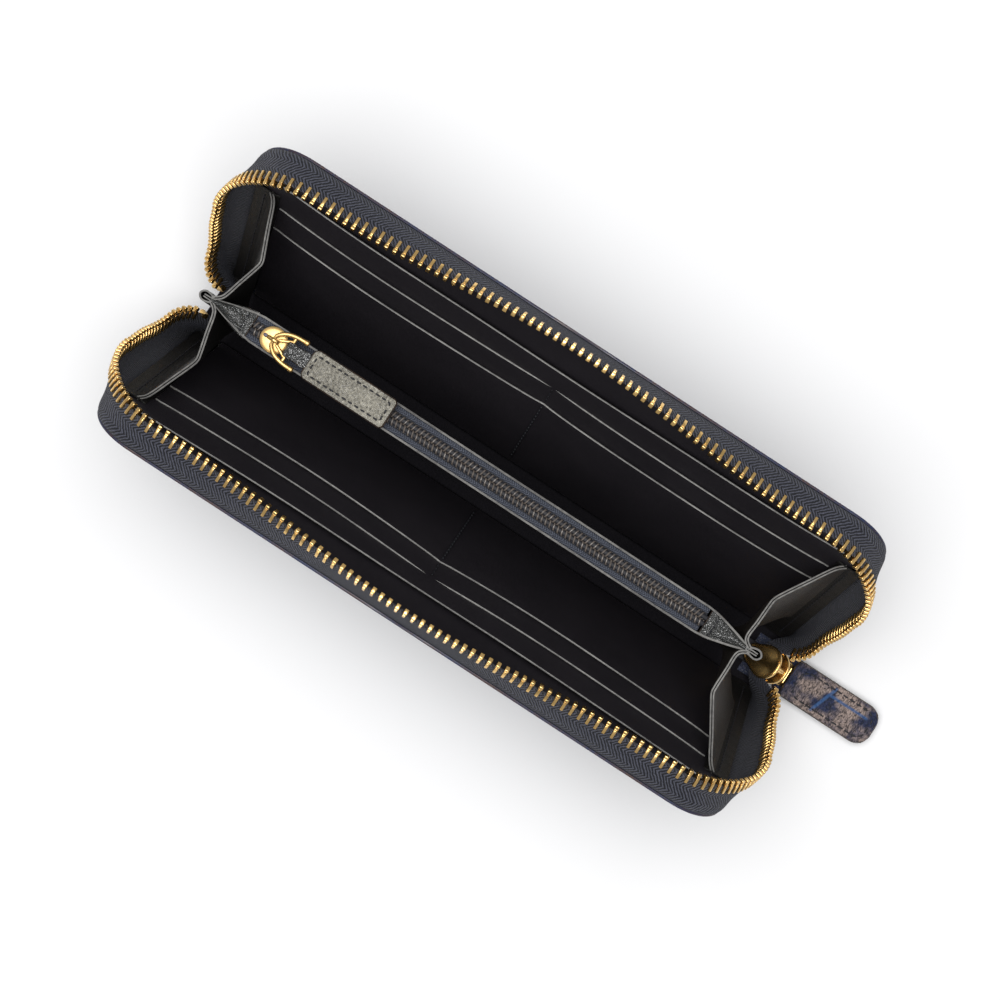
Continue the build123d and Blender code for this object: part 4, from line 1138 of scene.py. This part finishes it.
def dome(shape, radius_x, radius_y, centre, low, high, crown):
    """An oval plate with a softly domed top."""
    rings, sides = 8, 40
    points, faces = [], []
    for k in range(rings):
        share = 1 - k / rings
        lift = high + crown * math.sqrt(max(1 - share**2.4, 0))
        points += [(x, y, lift) for x, y in ellipse(radius_x * share, radius_y * share, sides, centre)]
    points.append((centre[0], centre[1], high + crown))
    points += [(x, y, low) for x, y in ellipse(radius_x * 0.97, radius_y * 0.97, sides, centre)]
    for k in range(rings - 1):
        for s in range(sides):
            a, b = k * sides + s, k * sides + (s + 1) % sides
            faces.append((a, b, b + sides, a + sides))
    last, peak, base = (rings - 1) * sides, rings * sides, rings * sides + 1
    for s in range(sides):
        following = (s + 1) % sides
        faces.append((last + s, last + following, peak))
        faces.append((s, base + s, base + following, following))
    faces.append(tuple(base + s for s in range(sides)))
    shape.add(points, faces)


def make_coin_slider():
    """Small slider: domed oval plate with a dark patch painted as the bridge's shadow, lower plate and neck.
    """
    low, high = box_mm("coin_slider_body")
    x = (low.x + high.x) / 2
    plate_low = high.z - 1.2
    shape = Shape()
    dome(shape, 3.95, 3.6, (x, 0.0), plate_low, high.z - 0.6, 0.5)
    shape.add(*plate(ellipse(3.6, 3.0), 0.0, 0.9, 0.25, offset=(x, 0.0, low.z)))
    shape.add(*block((x - 3.2, -0.35, low.z + 0.6), (x - 1.6, 0.35, plate_low + 0.3), 0.1))
    # A dark plate on the dome, left of the bridge, is painted shadow of the bridge.
    painted_bridge_shadow = plate(ellipse(0.95, 0.6, 24), 0.0, 0.35, 0.1, offset=(x - 2.35, 0.0, high.z - 0.5))
    shape.add(*painted_bridge_shadow, 1)
    shape.made("coin_slider_casting", "coin_slider", "gold_metal", (PALE_BRASS, DARK_EDGE),
               ("coin_slider_body",))
    make_coin_bridge(x, high.z)


def make_coin_bridge(x, top):
    """The round wire over the coin slider, which holds its pull."""
    bridge = Shape()
    pin_x = joints["coin_link_swing"]["pos_m"][0] / MM
    arch = spline([(x - 1.7, 0, top - 0.5), (x - 1.5, 0, top + 0.35), (x - 0.3, 0, top + 1.1),
                   (x + 1.0, 0, top + 1.75), (pin_x, 0, top + 1.95), (pin_x + 1.15, 0, top + 1.35),
                   (pin_x + 1.2, 0, top + 0.1)], 8)
    tube(bridge, arch, 0.56, sides=12)
    bridge.made("coin_slider_arch", "coin_slider", "gold_metal", (PALE_BRASS,), ("coin_slider_bridge",))


def make_coin_link():
    """Forked link: two out-curving arms, and an A-shaped frame that carries the tab."""
    pin = joints["coin_link_swing"]["pos_m"]
    bar = joints["coin_tab_swing"]["pos_m"]
    pin_x, pin_z, bar_x = pin[0] / MM, pin[2] / MM, bar[0] / MM
    shape = Shape()
    tube(shape, resample([(pin_x, -1.4, pin_z), (pin_x, 1.4, pin_z)], 0.4), 0.42)
    for side in (-1, 1):
        arm = spline([(pin_x, side * 1.2, pin_z), (pin_x + 0.9, side * 2.3, pin_z + 0.25),
                      (pin_x + 2.6, side * 3.4, pin_z + 0.4), (pin_x + 5.2, side * 4.05, pin_z + 0.35),
                      (pin_x + 8.4, side * 4.2, pin_z)], 9)
        tube(shape, arm, np.linspace(0.56, 0.66, len(arm)), sides=12)
        tube(shape, arm[-3:], 0.78, sides=12)
        strut = resample([(pin_x + 1.5, side * 0.75, pin_z + 0.1), (bar_x, side * 2.5, pin_z)], 0.5)
        tube(shape, strut, 0.46, sides=10)
    tube(shape, resample([(bar_x, -3.9, pin_z + 0.1), (bar_x, 3.9, pin_z + 0.1)], 0.5), 0.5, sides=10)
    shape.made("coin_pull_fork_link", "coin_pull_fork", "gold_metal", (PALE_BRASS,), ("coin_pull_link",))


def rounded_grid(length, half, start_radius, end_radius):
    """Points from x = 0 to length over a rectangle whose four corners are drawn in to arcs."""
    x = length * (0.5 - 0.5 * np.cos(np.linspace(0, math.pi, 74)))
    y = half * np.sin(np.linspace(-1, 1, 27) * math.pi / 2)
    y, x = np.meshgrid(y, x)
    for place, radius in ((0.0, start_radius), (length, end_radius)):
        past = np.clip(1 - np.abs(x - place) / radius, 0, 1)
        over = np.clip((np.abs(y) - half + radius) / radius, 0, 1)
        scale = np.maximum(past, over) / np.maximum(np.hypot(past, over), 1e-9)
        scale = np.where((past > 0) & (over > 0), scale, 1.0)
        toward = 1.0 if place > 0 else -1.0
        x = np.where(scale < 1, place + toward * radius * (past * scale - 1), x)
        y = np.where(scale < 1, np.sign(y) * (half - radius + radius * over * scale), y)
    return x, y


def tab_layer(shape, origin_x, x, y, height, thickness):
    """A leather tab layer over a rounded grid; height(x, y) gives its middle surface."""
    x = x + origin_x
    slab(shape, np.stack([x, y, height(x, y)], axis=-1), thickness, 0, 1)


def make_coin_tab():
    """Leather tab of the coin slider: two layers over a core, stitched round."""
    bar = joints["coin_tab_swing"]["pos_m"]
    bar_x, bar_z = bar[0] / MM, bar[2] / MM
    end_x, half, _ = box_mm("coin_pull_upper_leather")[1]
    shoulder, inset = end_x - 25.7, 1.3
    across = np.linspace(-1, 1, 11)
    for name, sign in (("lower", -1), ("upper", 1)):
        low, high = (corner.z for corner in box_mm(f"coin_pull_{name}_leather"))

        def height(x, y):
            rim = np.minimum(np.minimum(x - shoulder, end_x - x), half - np.abs(y))
            channel = np.exp(-((rim - inset) / 0.5) ** 2)
            swell = 0.12 * smooth_step(rim, 0.0, 0.8) + 0.12 * smooth_step(rim, inset, inset + 1.2)
            return (low + high) / 2 + sign * (swell - 0.2 * channel)

        shape = Shape()
        x, y = rounded_grid(end_x - shoulder, half, 1.5, 1.1)
        tab_layer(shape, shoulder, x, y, height, high - low)
        neck_rows = []
        for neck_x in np.linspace(bar_x + 0.2, shoulder + 2.4, 20):
            fold = math.sin((neck_x - bar_x) * 1.9)
            width = 1.95 + 0.15 * math.cos((neck_x - bar_x) * 1.3)
            z = (low + high) / 2 - sign * (0.15 - 0.06 * fold) + sign * 0.1 * (1 - across**2)
            neck_rows.append(points_at(neck_x, across * width, z))
        slab(shape, neck_rows, 0.7, slot=3, rim_slot=3)
        if sign > 0:
            wrap_rows = []
            for angle in np.linspace(math.pi * 0.4, math.pi * 1.6, 14):
                x, z = bar_x + 0.92 * math.cos(angle), bar_z + 0.92 * math.sin(angle)
                wrap_rows.append(points_at(x, across * 1.9, z))
            slab(shape, wrap_rows, 0.6, slot=3, rim_slot=3)
            line = rounded_outline((end_x - shoulder) / 2 - inset, half - inset, 0.7,
                                   centre=((end_x + shoulder) / 2, 0.0))
            path = np.array([(x, y, high + 0.02) for x, y in line])
            stitches(shape, path, (0, 0, 1), pitch=2.1, length=1.25, radius=0.25, slot=2, closed=True)
        shape.made(f"coin_tab_{name}_side", "coin_pull_tab", "inner_leather",
                   (HIGHLIGHT_PAINTED_COIN_LEATHER, BROWN_EDGE, THREAD, PATCH_LEATHER), (f"coin_pull_{name}_leather",))


# ---------------------------------------------------------------- main slider


SLIDER_ANGLE = math.radians(-50.0)
SLIDER_OUT = np.array((math.cos(SLIDER_ANGLE), 0.0, math.sin(SLIDER_ANGLE)))
SLIDER_ALONG = np.array((-math.sin(SLIDER_ANGLE), 0.0, math.cos(SLIDER_ANGLE)))
SLIDER_CENTRE = main_bend(SLIDER_ANGLE)
SLIDER_CHANNEL = 2.0
SLIDER_PLATE = 1.0


def in_slider(points):
    """Local slider points (x along the zip, y across, z outwards) in the frame."""
    return placed(np.asarray(points, float), SLIDER_CENTRE, SLIDER_ALONG, np.array((0, 1.0, 0)), SLIDER_OUT)


def egg(shrink=0.0):
    """Outline of the slider's plates: a wide front and a narrower rear."""
    front, rear, front_x, rear_x = 5.1 - shrink, 3.4 - shrink, 1.5, -3.4
    lean = math.asin((front - rear) / (front_x - rear_x))
    wide = np.linspace(-math.pi / 2 - lean, math.pi / 2 + lean, 29)
    narrow = np.linspace(math.pi / 2 + lean, 3 * math.pi / 2 - lean, 14)
    outline = [(front_x + front * math.cos(a), front * math.sin(a)) for a in wide]
    outline += [(rear_x + rear * math.cos(a), rear * math.sin(a)) for a in narrow[1:-1]]
    return outline


def make_main_slider():
    """Two plates with turned-in side walls round a wedge."""
    shape = Shape()
    for face in (-1, 1):
        low = SLIDER_CHANNEL if face > 0 else -SLIDER_CHANNEL - SLIDER_PLATE
        points, faces = plate(egg(), low, low + SLIDER_PLATE, 0.3, 3)
        shape.add(in_slider(points), faces)
        rim = np.array([(x, y, face * (SLIDER_CHANNEL + SLIDER_PLATE + 0.02)) for x, y in egg(0.55)])
        tube(shape, in_slider(resample(rim, 0.6, closed=True)), 0.32, sides=8, closed=True)
        for side in (-1, 1):
            wall = [(-4.2, side * 3.1), (-2.4, side * 3.6), (-0.5, side * 4.15), (1.8, side * 4.7)]
            flange = spline([(x, y, face * (SLIDER_CHANNEL - 0.35)) for x, y in wall], 5)
            rows = np.array([in_slider(flange - np.array((0, 0, face * drop))) for drop in (-0.5, 0.2, 0.85)])
            slab(shape, rows, 0.45)
    wedge, wedge_faces = plate(ellipse(1.5, 1.05, 24, (4.7, 0.0)), -SLIDER_CHANNEL, SLIDER_CHANNEL, 0.05, 1)
    shape.add(in_slider(wedge), wedge_faces)
    shape.made("main_slider_casting", "main_slider", "gold_metal", (BRASS,), ("main_slider_body",))


def make_main_bridge():
    """The flat strap over the main slider's outer plate, which holds the pull's link."""
    bridge = Shape()
    top = SLIDER_CHANNEL + SLIDER_PLATE
    arch = spline([(-3.6, 0, top - 0.3), (-3.4, 0, top + 1.6), (-2.2, 0, top + 2.6), (0.6, 0, top + 2.85),
                   (2.8, 0, top + 2.3), (3.6, 0, top + 1.2), (3.7, 0, top - 0.3)], 6)
    rows = np.array([in_slider(arch + np.array((0, y, 0))) for y in np.linspace(-1.05, 1.05, 5)])
    slab(bridge, rows, 0.7)
    bridge.made("main_slider_arch", "main_slider", "gold_metal", (BRASS,), ("main_slider_bridge",))


def make_main_link():
    """Wire link between the slider's bridge and the leather pull."""
    pivot = np.array(joints["main_pull_link_swing"]["pos_m"]) / MM
    bar = np.array(joints["main_pull_tab_swing"]["pos_m"]) / MM
    half = 3.2
    corners = []
    for end_point, following, sign in ((pivot, bar, -1), (bar, pivot, -1), (bar, pivot, 1), (pivot, bar, 1)):
        corner = end_point + np.array((0, sign * half, 0))
        toward = unit(following - end_point)
        cross = np.array((0, -sign, 0.0))
        bend = [corner + cross * 0.9, corner + cross * 0.25 + toward * 0.25, corner + toward * 0.9]
        corners += bend if (sign < 0) == np.array_equal(end_point, pivot) else bend[::-1]
    shape = Shape()
    tube(shape, resample(corners, 0.45, closed=True), 0.62, sides=10, closed=True)
    shape.made("main_pull_wire", "main_pull_loop", "gold_metal", (BRASS,), ("main_pull_link",))


def make_main_tab():
    """Embossed leather pull: two layers and a core, with pressed lines."""
    start, end, half, cross_x = pull_outline()
    low, high = box_mm("main_pull_core")
    shape = Shape()
    x, y = rounded_grid(end - low.x - 0.25, half - 0.25, 1.4, half * 0.7)
    middle = (low.z + high.z) / 2
    tab_layer(shape, low.x, x, y, lambda x, y: np.full_like(x, middle), high.z - low.z)
    shape.made("main_pull_filler", "main_pull_tab", "outer_leather", (BROWN_EDGE, BROWN_EDGE),
               ("main_pull_core",))
    for name, sign in (("outer", -1), ("inner", 1)):
        low, high = box_mm(f"main_pull_{name}_leather")

        def height(x, y):
            cross = 0.42 * np.exp(-((x - cross_x - PULL_CROSS_LEAN * y) / 0.5) ** 2)
            length = 0.38 * np.exp(-((y - half * PULL_LINE_SHARE) / 0.4) ** 2)
            length = length * smooth_step(x, cross_x, cross_x + 1.0) * smooth_step(end - x, 2.5, 4.0)
            rim = np.minimum(np.minimum(x - low.x, end - x), half - np.abs(y))
            swell = 0.25 * smooth_step(rim, 0.0, 1.0) - 0.2 * np.exp(-((rim - 1.5) / 0.5) ** 2)
            wrinkle = 0.08 * np.sin(x * 3.1 + 1.3 * np.sin(y * 1.7)) * np.sin(y * 2.3 + x * 0.4)
            return (low.z + high.z) / 2 + sign * (swell + wrinkle - cross - length)

        shape = Shape()
        x, y = rounded_grid(end - low.x, half, 1.6, half * 0.72)
        tab_layer(shape, low.x, x, y, height, high.z - low.z)
        inset = 1.5
        ring = rounded_outline((end - start) / 2 - inset - 1.8, half - inset, half * 0.5,
                               centre=((start + end) / 2 + 1.8, 0.0))
        surface = high.z + 0.03 if sign > 0 else low.z - 0.03
        path = np.array([(x, y, surface) for x, y in ring])
        stitches(shape, path, (0, 0, sign), pitch=2.3, length=1.4, radius=0.28, slot=2, closed=True)
        shape.made(f"main_pull_{name}_side", "main_pull_tab", "outer_leather",
                   (PULL_LEATHER, BROWN_EDGE, THREAD), (f"main_pull_{name}_leather",))


def make_zip_end():
    """The closed bottom end of the main zip, from the slider's rear to its stop."""
    shape = Shape()
    across = np.linspace(-3.2, 3.2, 13)
    rows = np.array([main_bend(angle) + points_at(0.0, across, 0.0)
                     for angle in np.radians(np.linspace(-62, -88, 14))])
    uvs = np.stack(np.broadcast_arrays(np.arange(len(rows))[:, None] * 0.77, across[None, :]), axis=-1)
    # The tape here takes the near-black thread material instead of the twill, as painted shade.
    slab(shape, rows, TAPE, uvs=uvs)
    template = tooth_template()
    half_pitch_angle = math.degrees(TOOTH_PITCH / 2 / ZIP_BEND_RADIUS)
    for k, angle in enumerate(np.arange(-76.0, -86.0, -half_pitch_angle)):
        turn = math.radians(angle)
        side = 1 if k % 2 else -1
        out = np.array((math.cos(turn), 0.0, math.sin(turn)))
        run = np.array((-math.sin(turn), 0.0, math.cos(turn)))
        origin = main_bend(turn) + np.array((0, side * 1.2, 0))
        for points, faces in template:
            shape.add(placed(points, origin, run, (0.0, -side, 0.0), out), faces, 1)
    shape.made("main_zip_closed_end", "wallet_spine", "zip_tape", (THREAD, BRASS))


# ---------------------------------------------------------------- carried-over nodes


def dress_node(node, material, bevel=0.0):
    """Give a CAD node its material, and soften its edges where it shows."""
    piece = frame["nodes"][node]
    piece.data.materials.clear()
    piece.data.materials.append(material)
    if bevel:
        rounding = piece.modifiers.new("soft_edges", "BEVEL")
        rounding.width = bevel * MM
        rounding.segments = 2
        rounding.limit_method = "ANGLE"


def dress_frame():
    """The CAD nodes that no visual piece stands for."""
    for cover in ("back", "front"):
        dress_node(f"{cover}_cover_board", BOARD)
        dress_node(f"{cover}_zip_top_stop", BRASS, 0.25)
    dress_node("spine_board", BOARD)
    # The spine lining takes the darker copy of the lining leather as painted shade.
    dress_node("spine_lining", SHADE_PAINTED_LINING)
    dress_node("main_zip_bottom_stop", BRASS, 0.25)
    dress_node("coin_pull_core", BROWN_EDGE)


# ---------------------------------------------------------------- studio


def make_floor():
    """A pale floor that takes soft shadows."""
    n = Nodes("studio_floor")
    n.set(Base_Color=(0.665, 0.665, 0.67, 1.0), Roughness=0.9, Specular_IOR_Level=0.1)
    mesh = bpy.data.meshes.new("studio_floor")
    corners = [(x * FLOOR_REACH, y * FLOOR_REACH, 0) for x, y in ((-1, -1), (1, -1), (1, 1), (-1, 1))]
    mesh.from_pydata(corners, [], [(0, 1, 2, 3)])
    mesh.materials.append(n.material)
    floor = bpy.data.objects.new("studio_floor", mesh)
    bpy.context.scene.collection.objects.link(floor)


def add_light(name, place, size, power):
    """A white square softbox that faces the wallet."""
    light = bpy.data.lights.new(name, "AREA")
    light.shape = "SQUARE"
    light.size, light.energy = size, power
    made = bpy.data.objects.new(name, light)
    made.location = place
    made.rotation_mode = "QUATERNION"
    made.rotation_quaternion = (Vector(LIGHT_TARGET) - Vector(place)).to_track_quat("-Z", "Y")
    bpy.context.scene.collection.objects.link(made)


def make_studio():
    """Pale floor, soft light from above, and the camera straight over the wallet."""
    make_floor()
    world = bpy.data.worlds.new("studio")
    bpy.context.scene.world = world
    world.use_nodes = True
    sky = world.node_tree.nodes["Background"].inputs
    sky["Color"].default_value = (1.0, 1.0, 1.0, 1.0)
    sky["Strength"].default_value = WORLD_STRENGTH
    add_light("key_light", (-0.05, -0.03, 1.2), 0.85, 15.5)
    add_light("fill_light", (-0.06, 0.0, 1.4), 1.1, 6.0)
    camera_data = bpy.data.cameras.new("camera")
    camera_data.sensor_width, camera_data.lens = 36.0, CAMERA_LENS
    camera = bpy.data.objects.new("camera", camera_data)
    camera.location = CAMERA_PLACE
    camera.rotation_euler = (0, 0, math.radians(CAMERA_TURN))
    bpy.context.scene.collection.objects.link(camera)
    bpy.context.scene.camera = camera
    bpy.context.scene.view_settings.view_transform = "Standard"


for cover_side in (1, -1):
    make_wrap(cover_side)
    make_cover_stitching(cover_side)
    make_lining(cover_side)
    for pocket in FLAT_POCKETS:
        make_flat_pocket(cover_side, *pocket)
    make_pocket_stitching(cover_side)
    make_tape(cover_side)
    make_teeth(cover_side)
    make_coin_wall(cover_side)
    make_coin_tape(cover_side)
    make_coin_coil(cover_side)
    for cover_end in (-1, 1):
        make_binding(cover_side, cover_end)
        make_gusset(cover_side, cover_end)
for pocket_end in (-1, 1):
    make_pinch_loop(pocket_end)
    make_end_patch(pocket_end)
make_coin_slider()
make_coin_link()
make_coin_tab()
make_main_slider()
make_main_bridge()
make_main_link()
make_main_tab()
make_zip_end()
dress_frame()
make_studio()
